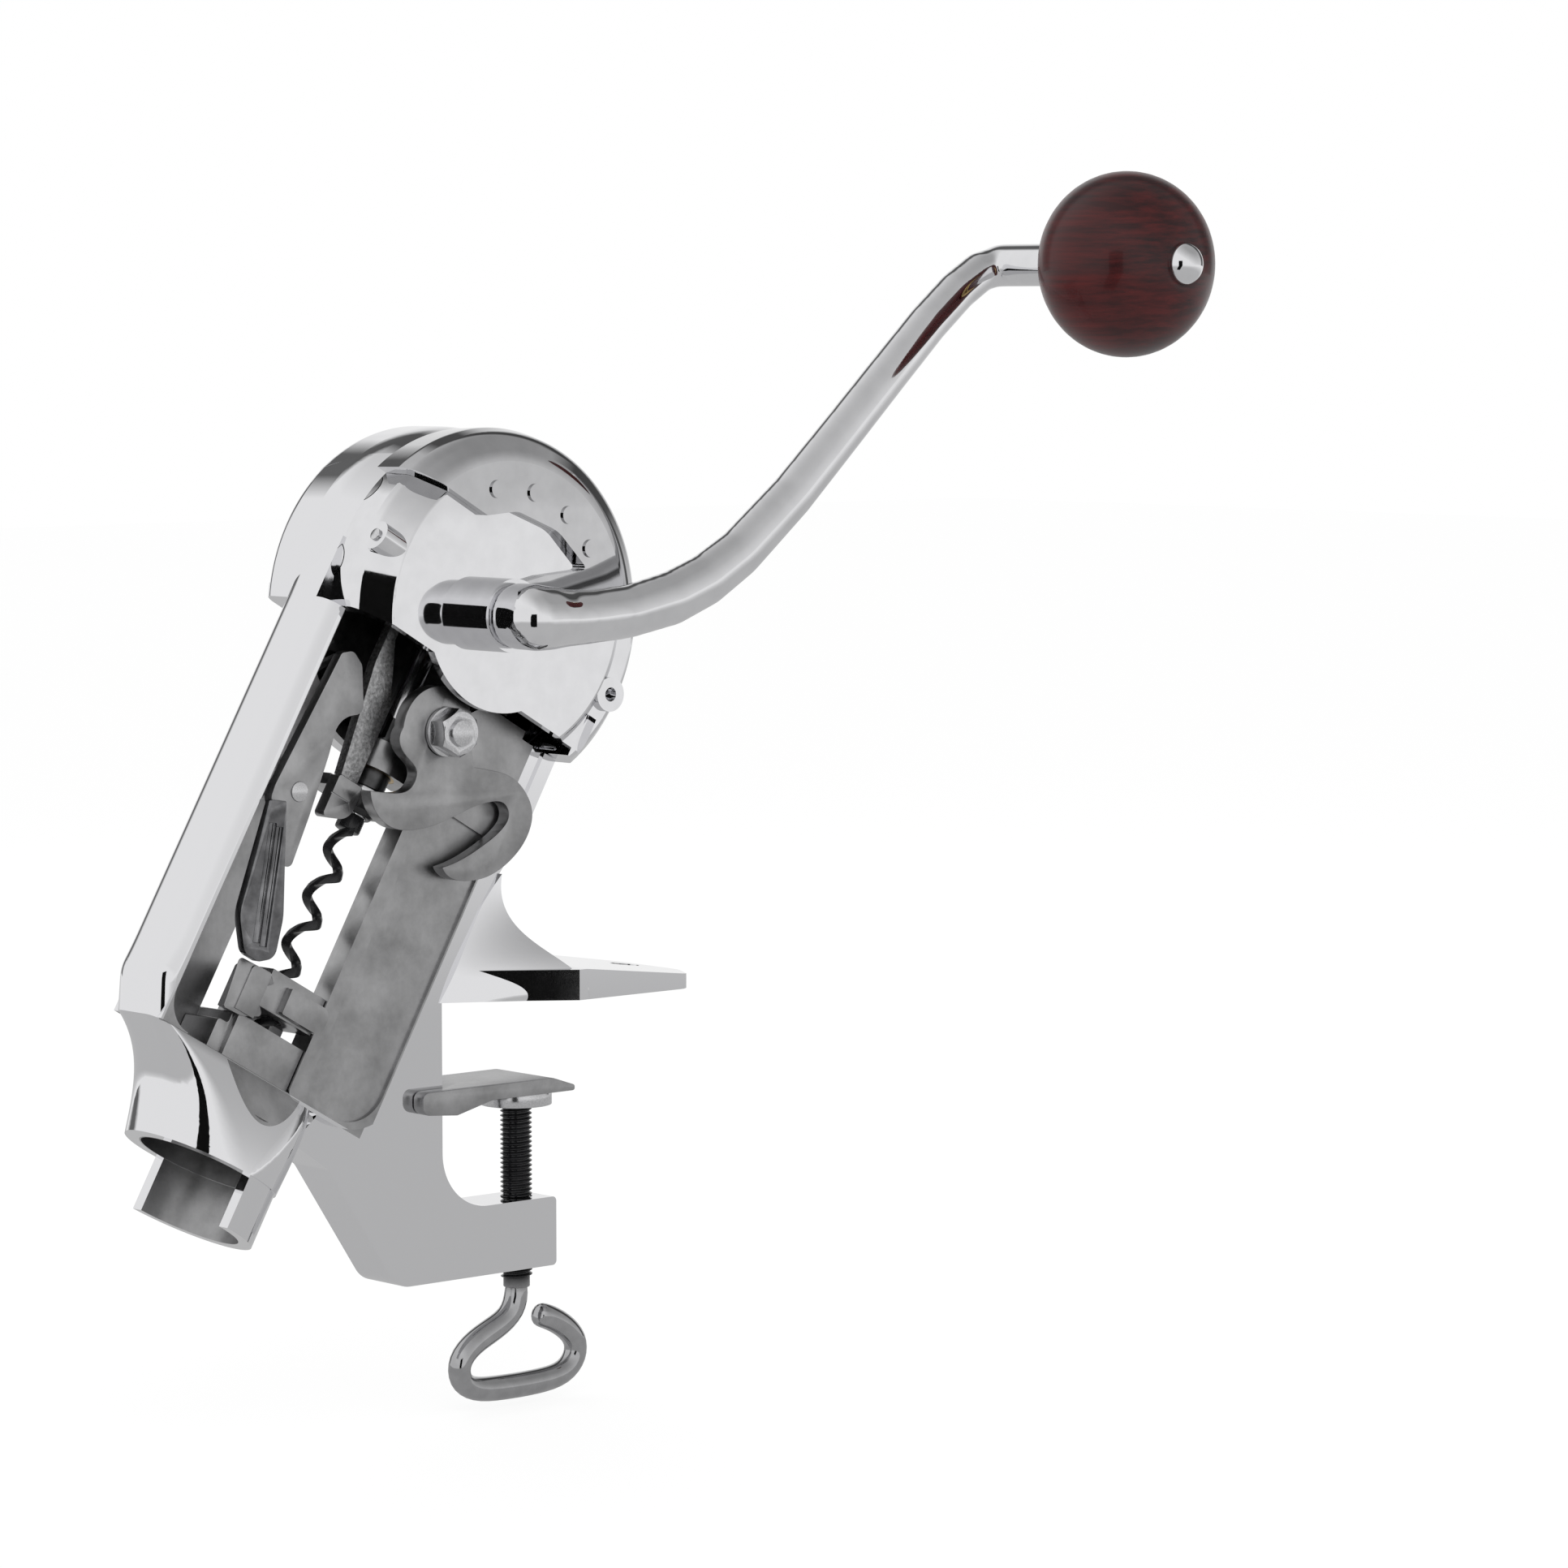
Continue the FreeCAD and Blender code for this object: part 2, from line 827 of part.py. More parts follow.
def saddle():
    """Concave sweep from the flange up to the outer wall of the web."""
    x0 = -screw_reach
    rows = []
    for share, reach_share, near_half, far_half in (
            (0.0, 0.925, foot_root_half, foot_half_width),
            (0.9, 0.85, frame_half, foot_half_width - saddle_step),
            (2.0, 0.625, frame_half, saddle_size / 2),
            (3.4, 0.5, frame_half, saddle_size * 0.3375),
            (5.2, 0.625, frame_half, frame_half)):
        level = foot_height * share
        back = x0 - saddle_overlap + level * math.tan(lean)
        front = x0 + reach_share * saddle_size
        rows.append([V(back, -near_half, level), V(front, -far_half, level),
                     V(front, far_half, level), V(back, near_half, level)])
    wires = [Part.makePolygon(row + [row[0]]) for row in rows]
    return Part.makeLoft(wires, True, False)


def foot_cuts():
    """Countersunk screw hole of the foot."""
    x = foot_hole_reach - screw_reach
    hole = post(foot_hole, -overrun, foot_height, x)
    rise = foot_sink - foot_hole
    sink = Part.makeCone(foot_hole, foot_sink + rise, rise * 2, V(x, 0, foot_land))
    return [hole, sink]


# Cover

def cover_outline_tool():
    """Solid that keeps the part of the cover above its lower contour."""
    reach = head_radius * 1.3
    above = block(head_x - reach, head_x + reach, -cover_face - overrun, 0, -cover_chord, head_z + reach)
    return above.fuse(pin_y(head_x, head_z, cover_bump_radius, -cover_face - overrun, 0))


def under_hood(radius):
    """Cylinder round the axis of the hood."""
    return pin_y(head_x + hood_shift_x, head_z + hood_shift_z, radius, -hood_face, -parting_depth)


def cover_form(grow):
    """Outer form of the cover: flat disc, bevel and skirt, grown by a gap."""
    form = turned_y([
        (0, -cover_face - grow),
        (cover_flat_radius, -cover_face - grow, disc_edge_round),
        (bevel_radius + grow, -bevel_depth - bevel_drop, bevel_round),
        (parting_radius - skirt_step + grow, -bevel_depth, skirt_round),
        (parting_radius + grow, -parting_depth),
        (0, -parting_depth),
    ], head_x, head_z)
    return form.common(under_hood(hood_radius - hood_wall + grow))


def cover_shell():
    """Hollow form of the cover."""
    room = turned_y([
        (0, -cover_face + cover_wall),
        (cover_flat_radius - cover_wall / 3, -cover_face + cover_wall),
        (bevel_radius - cover_wall, -bevel_depth),
        (parting_radius - cover_wall, -parting_depth),
        (0, -parting_depth),
    ], head_x, head_z)
    return cover_form(0).cut(room.common(under_hood(hood_radius - hood_wall - cover_wall)))


def front_cover():
    """Lid of the gear head with its shaft boss and lugs."""
    shell = cover_shell().cut(tongues(tongue_radius + seat_gap)).common(cover_outline_tool())
    boss = pin_y(0, 0, boss_radius, -cover_face - boss_length, -cover_face + cover_wall)
    lug_start = V(head_x - lug_reach, -lug_depth, head_z - lug_drop)
    lug = Part.makeCylinder(lug_radius, lug_length, lug_start, X_AXIS)
    solid = shell.fuse([boss, lug, cover_rim()])
    solid = solid.cut(pin_y(0, 0, shaft_bush_radius, -cover_face - boss_length - overrun, 0))
    return stand(tidy(solid))


def level_point(reach, height):
    """Leaning place of a point on a level line above the crank axis."""
    return (reach * math.cos(lean) - height * math.sin(lean),
            reach * math.sin(lean) + height * math.cos(lean))


def cover_rim():
    """Raised rim at the lower right with an eyelet and a slot."""
    ring = turned_y([
        (cover_flat_radius + rim_inset, -cover_face + rim_step),
        (cover_rim_radius - rim_flat, -cover_face + rim_step, rim_step),
        (cover_rim_radius, -cover_face + rim_drop, rim_round),
        (cover_rim_radius, -parting_depth),
        (parting_radius - cover_wall, -parting_depth),
        (parting_radius - cover_wall, -bevel_depth),
    ], head_x, head_z)
    reach = cover_rim_radius * 1.3
    sector = plate([
        level_point(cover_rim_radius / 3, hood_line - seat_gap),
        level_point(reach, hood_line - seat_gap),
        (head_x + reach, -cover_rim_foot),
        (head_x + cover_rim_left, -cover_rim_foot),
        (head_x + cover_rim_left, -cover_chord),
        (head_x + cover_rim_radius / 3, -cover_chord),
    ], cover_face + overrun, 0)
    x = head_x + eyelet_reach
    z = head_z - eyelet_drop
    eyelet = pin_y(x, z, eyelet_radius, -cover_face + seat_gap, -parting_depth)
    hole = pin_y(x, z, eyelet_hole, -cover_face - overrun, 0)
    slot = block(x - slot_width, x, -cover_face, -cover_face + slot_width, z - slot_end, z - slot_start)
    return ring.common(sector).fuse(eyelet).cut([hole, slot])


def cover_hood():
    """Raised crescent hood over the upper right of the cover, with four plain bosses."""
    dome = turned_y([
        (0, -hood_face),
        (hood_radius - hood_round, -hood_face, hood_face_round),
        (hood_radius - hood_shoulder, -hood_face + hood_shoulder_drop, hood_shoulder_round),
        (hood_radius, -hood_rim_depth, hood_rim_round),
        (hood_radius - hood_rim_step, -parting_depth),
        (0, -parting_depth),
    ], head_x + hood_shift_x, head_z + hood_shift_z)
    reach = hood_radius * 1.25
    edge_shares = [
        (-0.376, 0.486), (-0.18, 0.62, 0.12), (0.16, 0.668, 0.28),
        (0.486, 0.574, 0.02), (0.202, 0.378), (0.0, 0.2),
    ]
    edge = scaled(edge_shares, hood_area)
    area = plate([(-reach, edge[0][1])] + edge + [
        level_point(boss_radius / 2, hood_line),
        level_point(reach, hood_line),
        (head_x + reach, head_z + reach),
        (-reach, head_z + reach),
    ], hood_face + overrun, 0)
    hood = dome.cut(cover_form(running_gap)).common(area)
    hood = hood.cut(pin_y(0, 0, boss_radius + seat_gap, -hood_face - overrun, 0))
    for angle in hood_boss_angles:
        turn = math.radians(angle + lean_degrees)
        x = head_x + hood_shift_x + hood_boss_reach * math.cos(turn)
        z = head_z + hood_shift_z + hood_boss_reach * math.sin(turn)
        hood = hood.fuse(pin_y(x, z, hood_boss_radius, -hood_face - hood_boss_height,
                               -hood_face + hood_boss_root))
    return stand(tidy(hood))


def cover_rivet():
    """Rivet of the left lug."""
    start = V(head_x - lug_reach - rivet_head, -lug_depth, head_z - lug_drop)
    return stand(Part.makeCylinder(rivet_radius, rivet_head, start, X_AXIS))


# Crank drive

def crank_shaft():
    """Shaft through the head."""
    return stand(pin_y(0, 0, shaft_radius, -arm_plane + shaft_short, head_back + shaft_tail))


def shaft_bush():
    """Bush of the shaft in the cover boss."""
    outer = pin_y(0, 0, shaft_bush_radius, -cover_face - boss_length + seat_gap, -cover_face + cover_wall)
    return stand(outer.cut(pin_y(0, 0, shaft_radius + running_gap, -arm_plane, 0)))


def rear_bush():
    """Flanged bush of the shaft in the back wall."""
    outer = pin_y(0, 0, rear_bush_radius, head_back - head_wall, head_back)
    flange = pin_y(0, 0, rear_bush_radius + bush_flange, head_back, head_back + bush_flange_depth)
    return stand(outer.fuse(flange).cut(pin_y(0, 0, shaft_radius + running_gap, 0, head_back * 2)))


def shaft_circlip():
    """Ring that keeps the shaft in the rear bush."""
    ring = pin_y(0, 0, shaft_radius + circlip_rim, head_back + circlip_start, head_back + circlip_end)
    return stand(ring.cut(pin_y(0, 0, shaft_radius, 0, head_back * 2)))


def gear_outline(teeth, pitch_radius, size):
    """Corner places of a toothed wheel with straight flanks."""
    tip = pitch_radius + size * addendum_share
    root = pitch_radius - size * dedendum_share
    pitch = 2 * math.pi / teeth
    half_tip = pitch * tooth_share * tip_share
    half_root = pitch * tooth_share * root_share
    points = []
    for i in range(teeth):
        middle = i * pitch
        for radius, offset in ((root, -half_root), (tip, -half_tip), (tip, half_tip), (root, half_root)):
            points.append((radius * math.cos(middle + offset), radius * math.sin(middle + offset)))
    return points


def spindle_pinion():
    """Pinion with its long keyed hub."""
    pitch_radius = module * pinion_teeth / 2
    middle = module * pinion_teeth * gear_ratio / 2
    top = -middle + face_width / 2
    flat = [V(x, y, top) for x, y in gear_outline(pinion_teeth, pitch_radius, module)]
    teeth = Part.Face(Part.makePolygon(flat + [flat[0]])).extrude(V(0, 0, -face_width))
    hub = post(pinion_hub_radius - seat_gap, -pinion_hub_end, top - face_width)
    journal = post(pinion_hub_radius, -bridge_top - bridge_height, -bridge_top)
    bore = post(spindle_radius + running_gap, -pinion_hub_end - overrun, top + overrun)
    key = block(-key_half, key_half, spindle_radius - key_bite, spindle_radius + overrun,
                -pinion_hub_end + key_start, -pinion_hub_end + key_end)
    return stand(tidy(teeth.fuse([hub, journal]).cut(bore).fuse(key)))


def pinion_bush():
    """Bush of the pinion in the bridge of the casting."""
    low = -bridge_top - bridge_height
    bore = post(pinion_hub_radius + running_gap, low - overrun, -bridge_top + overrun)
    return stand(post(bush_radius, low, -bridge_top).cut(bore))


def crown_reach():
    """Outer radius of the crown gear."""
    return module * pinion_teeth * gear_ratio / 2 + face_width / 2


def crown_gear():
    """Face gear whose radial teeth drive the spindle pinion."""
    teeth = pinion_teeth * gear_ratio
    pitch_radius = module * teeth / 2
    pinion_pitch = module * pinion_teeth / 2
    root = pinion_pitch + module * dedendum_share
    tip = pinion_pitch - module * addendum_share
    inner = pitch_radius - face_width / 2
    disc = pin_y(0, 0, crown_reach(), root, root + crown_thickness)
    hub = pin_y(0, 0, crown_hub_radius, root, head_back - head_wall - seat_gap)
    pitch = 2 * math.pi * inner / teeth
    half_root = pitch * tooth_share * root_share
    half_tip = pitch * tooth_share * face_tip_share
    section = [V(-half_root, root + overrun / 10, -inner), V(-half_tip, tip, -inner),
               V(half_tip, tip, -inner), V(half_root, root + overrun / 10, -inner)]
    tooth = Part.Face(Part.makePolygon(section + [section[0]])).extrude(V(0, 0, -face_width))
    ring = []
    for i in range(teeth):
        one = tooth.copy()
        one.rotate(V(0, 0, 0), Y_AXIS, 360.0 * i / teeth)
        ring.append(one)
    wheel = disc.fuse([hub] + ring)
    return stand(wheel.cut(pin_y(0, 0, shaft_radius, 0, head_back)))


def feed_radius():
    """Pitch radius that feeds the rack by one lead for each turn of the worm."""
    return gear_ratio * worm_lead / (2 * math.pi)


def feed_module():
    """Module of the feed gear."""
    return 2 * feed_radius() / feed_teeth


def feed_gear():
    """Gear on the crank shaft that drives the rack bar."""
    front = -feed_depth - feed_width / 2
    flat = [V(x, front, z) for x, z in gear_outline(feed_teeth, feed_radius(), feed_module())]
    wheel = Part.Face(Part.makePolygon(flat + [flat[0]])).extrude(V(0, feed_width, 0))
    return stand(wheel.cut(pin_y(0, 0, shaft_radius, -head_back, head_back)))


def rack_bar():
    """Toothed bar of the carriage that runs on the feed gear."""
    pitch = 2 * math.pi * feed_radius() / feed_teeth
    tip = -feed_radius() + feed_module() * addendum_share
    root = -feed_radius() - feed_module() * dedendum_share
    back = root - rack_back
    half_tip = pitch * tooth_share * tip_share
    half_root = pitch * tooth_share * root_share
    points = [(back, rack_top - rack_lead), (root, rack_top)]
    for i in range(rack_teeth):
        middle = (rack_teeth - i - rack_tooth_share) * pitch
        points += [(root, middle + half_root), (tip, middle + half_tip),
                   (tip, middle - half_tip), (root, middle - half_root)]
    low = -carriage_top + seat_gap
    points += [(root, -rack_low_top), (-rack_low_right, -rack_low_top * 2, rack_bend), (-rack_low_right, low),
               (-rack_low_left, low), (back, -rack_low_top * 1.5, rack_bend)]
    middle = rack_depth
    return stand(plate(points, middle + rack_thickness / 2, middle - rack_thickness / 2))


# Carriage and worm

def carriage():
    """Slide between the rails with the seat of the spindle bearing."""
    low = -carriage_top - carriage_height
    left = -carriage_left
    nose = plate([
        (left, -carriage_top, nose_round),
        (left, -carriage_nose, nose_tip_round),
        (left + nose_width, -carriage_nose + nose_rise, nose_bend),
        (left + nose_width, -carriage_top, nose_round),
    ], carriage_face, carriage_face - nose_depth)
    groove = block(left - overrun, left + carriage_tongue, -carriage_face - overrun,
                   -carriage_face + groove_depth, low - groove_low, low - groove_high)
    body = block(left, web_left - seat_gap, -carriage_face + nose_depth, back_wall_face - seat_gap, low,
                 -carriage_top)
    right = block(web_left - overrun, web_left + carriage_tongue, web_rib_depth - frame_half + seat_gap,
                  overrun, low, -carriage_top)
    outer = block(left - carriage_wing, left + overrun, carriage_wing / 3, back_wall_face - seat_gap, low,
                  -carriage_top)
    solid = nose.cut(groove).fuse([body, right, outer])
    return stand(tidy(solid.cut(post(collar_radius, low - overrun, -carriage_top + overrun))))


def worm_collar():
    """Black bearing ring of the spindle, pressed into the carriage."""
    low = -carriage_top - collar_height
    ring = turned_z([
        (spindle_radius + running_gap, -carriage_top),
        (collar_radius, -carriage_top),
        (collar_radius, low + collar_edge),
        (collar_radius - collar_chamfer, low),
        (spindle_radius + running_gap, low),
    ])
    return stand(ring)


def spindle():
    """Keyed rod of the worm."""
    rod = post(spindle_radius, -carriage_top - collar_height - seat_gap, -spindle_top)
    slot = block(-slot_half, slot_half, spindle_radius - slot_depth, spindle_radius + overrun,
                 -carriage_top + slot_foot, -spindle_top + overrun)
    return stand(rod.cut(slot))


def thrust_ring():
    """Ring on the spindle above the carriage."""
    ring = post(collar_radius, -carriage_top + seat_gap, -pinion_hub_end - thrust_gap)
    return stand(ring.cut(post(spindle_radius, -carriage_top, -pinion_hub_end + overrun)))


def worm():
    """Worm: a half round wire wound round the axis, with its shank."""
    top = -carriage_top - collar_height - seat_gap
    start = -worm_tip
    height = top - shank_length - start
    middle = (worm_core + worm_outer) / 2
    inner = V(worm_core, 0, -wire_half)
    outer = V(worm_outer, 0, -wire_half)
    crest = V(middle, 0, wire_half)
    edge = V(worm_outer, 0, -wire_half / 2)
    corners = [inner, crest, edge, outer]
    section = Part.makePolygon(corners + [inner])
    sweep = Part.BRepOffsetAPI.MakePipeShell(Part.Wire(Part.makeLongHelix(worm_lead, height, middle).Edges))
    sweep.setBiNormalMode(Z_AXIS)
    sweep.add(section, False, False)
    sweep.build()
    sweep.makeSolid()
    wire = sweep.shape()
    wire.translate(V(0, 0, start))
    wire.rotate(V(0, 0, 0), Z_AXIS, worm_phase)
    shank = post(spindle_radius, top - shank_length - wire_half, top)
    return stand(wire.fuse(shank))


def worm_guide():
    """Guide ring above the neck block with its tab."""
    top = -neck_block_top + guide_height
    low = -neck_block_top
    right = web_left - seat_gap
    back = back_wall_face - seat_gap
    front = frame_half + seat_gap
    body = block(-guide_left, right, -neck_block_face, back, low + guide_leg, top + guide_top_lip)
    leg = block(-guide_left, right, wall / 2, back, low, low + guide_leg)
    neck = block(-tab_left, right, -front, -neck_block_face, low + tab_foot, top - overrun)
    tab = plate([
        (-tab_left, top - overrun, tab_edge_round),
        (-tab_left, low + tab_foot, tab_edge_round),
        (tab_right, low + tab_foot, tab_round),
        (tab_right, top - overrun, tab_round),
    ], front + tab_thickness, front)
    solid = body.fuse([leg, neck, tab])
    bore = post(worm_outer + guide_clearance, low - overrun, top + guide_top_lip + overrun)
    return stand(tidy(solid.cut(bore)))


def guide_jaw():
    """Polished jaw left of the guide."""
    shield_shares = [
        (-0.635, 0.37, 0.0375), (-0.59, -0.025, 0.025), (-0.4, -0.015, 0.2), (-0.23, 0.06, 0.025),
        (-0.3075, 0.15), (-0.3075, 0.275), (-0.24, 0.325, 0.015), (-0.315, 0.385, 0.025),
    ]
    root_shares = [
        (-0.5, 0.37, 0.0375), (-0.5, 0.01), (-0.3075, 0.01), (-0.3075, 0.375),
    ]
    shield = plate(scaled(shield_shares, jaw_size, 0, -neck_block_top), jaw_face, neck_block_face + seat_gap)
    root = plate(scaled(root_shares, jaw_size, 0, -neck_block_top), neck_block_face + overrun, jaw_root)
    return stand(tidy(shield.fuse(root)))


# Levers

def smooth(points, y):
    """Curve through points given as (x, z) pairs, at depth y."""
    curve = Part.BSplineCurve()
    curve.interpolate([V(x, y, z) for x, z in points])
    return curve.toShape()


def trip_lever():
    """Flat lever with two hooks."""
    front = -lever_front()
    inner_shares = [
        (-0.328, -0.57), (-0.218, -0.67), (-0.082, -0.692), (0.074, -0.636),
        (0.242, -0.506), (0.402, -0.332), (0.554, -0.202), (0.64, -0.174),
        (0.706, -0.218), (0.7, -0.318), (0.634, -0.444), (0.508, -0.62),
        (0.396, -0.732),
    ]
    outer_shares = [
        (0.396, -0.732), (0.468, -0.758), (0.604, -0.722), (0.742, -0.626),
        (0.862, -0.446), (0.904, -0.254), (0.864, -0.116), (0.762, -0.038),
        (0.628, -0.004), (0.49, -0.026), (0.316, -0.084),
    ]
    mouth_shares = [
        (-0.294, -0.118), (-0.172, -0.268), (-0.068, -0.314), (-0.06, -0.41),
        (-0.166, -0.504), (-0.328, -0.57),
    ]
    cap_shares = [
        (0.228, 0.02), (-0.032, 0.258),
    ]
    inner, outer, mouth, cap_ends = [scaled(shares, lever_size, trip_x, -trip_z)
                                     for shares in (inner_shares, outer_shares, mouth_shares, cap_shares)]
    corner, begin, crest, end = [V(x, front, z) for x, z in (outer[-1], cap_ends[0], cap_ends[1], mouth[0])]
    cap = Part.Arc(begin, crest, end).toShape()
    wire = Part.Wire([smooth(inner, front), smooth(outer, front), Part.makeLine(corner, begin), cap,
                      smooth(mouth, front)])
    body = Part.Face(wire).extrude(V(0, lever_thickness, 0))
    return stand(body.cut(pin_y(trip_x, -trip_z, stud_radius + running_gap, -head_radius, 0)))


def lever_front():
    """Depth of the front face of the trip lever."""
    return frame_half + overrun + seat_gap + lever_thickness


def pivot_stud():
    """Threaded stud of the trip lever."""
    far = lever_front() + seat_gap + washer_thickness + nut_height + overrun
    return stand(pin_y(trip_x, -trip_z, stud_radius, -far, -pinion_tip() - overrun))


def pivot_washer():
    """Washer under the nut."""
    near = lever_front() + seat_gap
    ring = pin_y(trip_x, -trip_z, stud_radius * 1.9, -near - washer_thickness, -near)
    return stand(ring.cut(pin_y(trip_x, -trip_z, stud_radius, -head_radius, 0)))


def pivot_nut():
    """Hex nut of the trip lever."""
    near = lever_front() + seat_gap + washer_thickness
    corner = nut_flats / math.sqrt(3)
    points = []
    for i in range(6):
        angle = math.radians(60 * i)
        points.append((trip_x + corner * math.cos(angle), -trip_z + corner * math.sin(angle)))
    flat = nut_flats / 2
    chamfer = turned_y([
        (0, -near - nut_height),
        (flat, -near - nut_height),
        (corner, -near - nut_height + nut_chamfer),
        (corner, -near),
        (0, -near),
    ], trip_x, -trip_z)
    body = plate(points, near + nut_height, near).common(chamfer)
    return stand(body.cut(pin_y(trip_x, -trip_z, stud_radius, -head_radius, 0)))


def latch_lever():
    """Long lever in the left of the window."""
    latch_shares = [
        (-0.126, 0.874, 0.03), (-0.054, 0.926, 0.05), (0.046, 0.882, 0.06), (0.202, 0.63, 0.06),
        (0.046, 0.522, 0.16), (0.09, 0.286, 0.1), (0.138, -0.094), (0.174, -0.514, 0.04),
        (-0.174, -0.122, 0.08), (-0.182, -0.038, 0.12),
    ]
    points = scaled(latch_shares, lever_size, -latch_x, -latch_z)
    body = plate(points, frame_half, frame_half - latch_thickness)
    hole = pin_y(-latch_x, -latch_z, latch_pin_radius + running_gap, -head_radius, head_radius)
    return stand(body.cut(hole))


def latch_pin():
    """Riveted pin of the latch lever."""
    return stand(pin_y(-latch_x, -latch_z, latch_pin_radius, -frame_half - seat_gap, frame_half - overrun))


def gripper_leaf():
    """Spoon shaped leaf on the latch lever."""
    leaf_shares = [
        (-0.202, -0.15, 0.012), (-0.1, -0.108, 0.012), (0.222, -0.726, 0.36), (0.286, -0.97, 0.08),
        (0.186, -1.038, 0.04), (0.066, -1.038, 0.08), (-0.082, -0.85, 0.28),
    ]
    groove_shares = [
        (-0.126, -0.266), (0.114, -0.946),
    ]
    front = frame_half + leaf_thickness
    leaf = plate(scaled(leaf_shares, lever_size, -latch_x, -latch_z), front, frame_half)
    ends = scaled(groove_shares, lever_size, -latch_x, -latch_z)
    grooves = []
    for shift in (0, leaf_groove * 2):
        start, end = [V(x + shift, -front, z) for x, z in ends]
        run = end - start
        groove = Part.makeCylinder(leaf_groove, run.Length, start, run)
        grooves.append(groove)
    return stand(leaf.cut(grooves))


# Clamp

def screw_path(start):
    """Centre line of the bent end of the clamp screw."""
    path_shares = [
        (0.0, 0.0, 0.0), (0.0, -0.18, 0.12), (-0.34, -0.3, 0.14), (-0.5, -0.45, 0.16),
        (-0.38, -0.632, 0.16), (0.38, -0.632, 0.16), (0.52, -0.42, 0.16), (0.34, -0.26, 0.1),
        (0.136, -0.188, 0.0),
    ]
    points = scaled(path_shares, eye_size, 0, start)
    return outline([(V(p[0], 0, p[1]), p[2]) for p in points], closed=False)


def clamp_screw():
    """Screw with its rolled eye."""
    start = -throat_depth - arm_thickness - screw_tail
    top = -plate_top - plate_thickness + screw_seat
    thread = post(screw_radius, start, top)
    circle = Part.Wire(Part.makeCircle(eye_wire, V(0, 0, start), Z_AXIS))
    return thread.fuse(screw_path(start).makePipeShell([circle], True, False))


def screw_flange():
    """Round flange at the top of the screw."""
    top = -plate_top - plate_thickness - seat_gap
    ring = post(screw_flange_radius, top - flange_thickness, top)
    return ring.cut(post(screw_radius, top - flange_thickness - overrun, top + overrun))


def pressure_plate():
    """Forked wedge shaped plate that presses under the table top."""
    x0 = -screw_reach
    low = -plate_top - plate_thickness
    side = plate([
        (x0 - prong_reach, -plate_top, prong_round),
        (x0 - prong_reach, low - prong_drop, prong_low_round),
        (x0 + heel_start, low - heel_drop, heel_start),
        (x0 + heel_end, low, heel_round),
        (x0 + plate_reach, low, tip_round),
        (x0 + plate_reach, -plate_top - tip_drop, tip_round),
        (x0 + plate_reach - tip_slope, -plate_top, tip_bend),
    ], plate_half, -plate_half)
    slot = block(x0 - prong_reach - overrun, x0 + seat_gap, -clamp_half - seat_gap, clamp_half + seat_gap,
                 low * 2, -plate_top + overrun)
    seat = post(screw_radius + running_gap, low - overrun, low + screw_seat + seat_gap)
    return side.cut([slot, seat])


# Arm and knob

def arm_sections():
    """Oval sections of the crank arm: place, direction in degrees, width and depth."""
    arm_shares = [
        (0.04, -0.004, 0, 0.194, 0.19),
        (0.14, -0.008, 0, 0.175, 0.16),
        (0.32, 0.0, 3, 0.165, 0.135),
        (0.54, 0.04, 14, 0.17, 0.13),
        (0.76, 0.135, 30, 0.165, 0.125),
        (1.04, 0.345, 42, 0.15, 0.125),
        (1.45, 0.72, 43, 0.14, 0.125),
        (1.76, 0.99, 38, 0.135, 0.125),
        (1.95, 1.07, 12, 0.13, 0.125),
    ]
    return [(x * arm_size, z * arm_size, angle, width * arm_size, depth * arm_size)
            for x, z, angle, width, depth in arm_shares]


def arm_oval(x, z, angle, width, depth):
    """Oval wire across the arm at one place."""
    middle = V(x, -arm_plane, z)
    turn = math.radians(angle)
    across = V(-math.sin(turn), 0, math.cos(turn))
    oval = Part.Ellipse(middle + across * (width / 2), middle + V(0, depth / 2, 0), middle)
    return Part.Wire(oval.toShape())


def crank_arm():
    """S shaped arm with its hub and the neck of the knob."""
    arm = Part.makeLoft([arm_oval(*row) for row in arm_sections()], True, True)
    hub = pin_y(0, 0, hub_radius, -arm_plane, -cover_face - boss_length - seat_gap)
    ball = Part.makeSphere(hub_radius, V(0, -arm_plane, 0))
    end_x, end_z = arm_sections()[-1][:2]
    neck_end = -knob_plane + knob_half_length + washer_thickness + seat_gap
    neck = pin_y(end_x, end_z, neck_radius, neck_end, -arm_plane)
    knuckle = Part.makeSphere(neck_radius, V(end_x, -arm_plane, end_z))
    solid = arm.fuse([hub, ball, neck, knuckle])
    solid = solid.cut(pin_y(0, 0, shaft_radius, -arm_plane + shaft_short, 0))
    solid = solid.cut(pin_y(end_x, end_z, knob_pin_radius, -knob_plane, -arm_plane - neck_radius))
    solid.translate(V(-shaft_reach, 0, shaft_height))
    return tidy(solid)


def knob_place():
    """World place of the knob axis."""
    end_x, end_z = arm_sections()[-1][:2]
    return end_x - shaft_reach, end_z + shaft_height


def wooden_knob():
    """Turned wooden knob."""
    x, z = knob_place()
    bore = knob_pin_radius + running_gap
    half = knob_half_length * knob_bulge_share
    near = V(x + bore, -knob_plane - half, z)
    far = V(x + bore, -knob_plane + half, z)
    belly = V(x + knob_radius, -knob_plane, z)
    share = math.sqrt(1 / 2)
    cheek = x + knob_radius * share
    front = Part.Arc(near, V(cheek, -knob_plane - half * share, z), belly).toShape()
    back = Part.Arc(belly, V(cheek, -knob_plane + half * share, z), far).toShape()
    face = Part.Face(Part.Wire([front, back, Part.makeLine(far, near)]))
    return face.revolve(V(x, 0, z), Y_AXIS, 360)


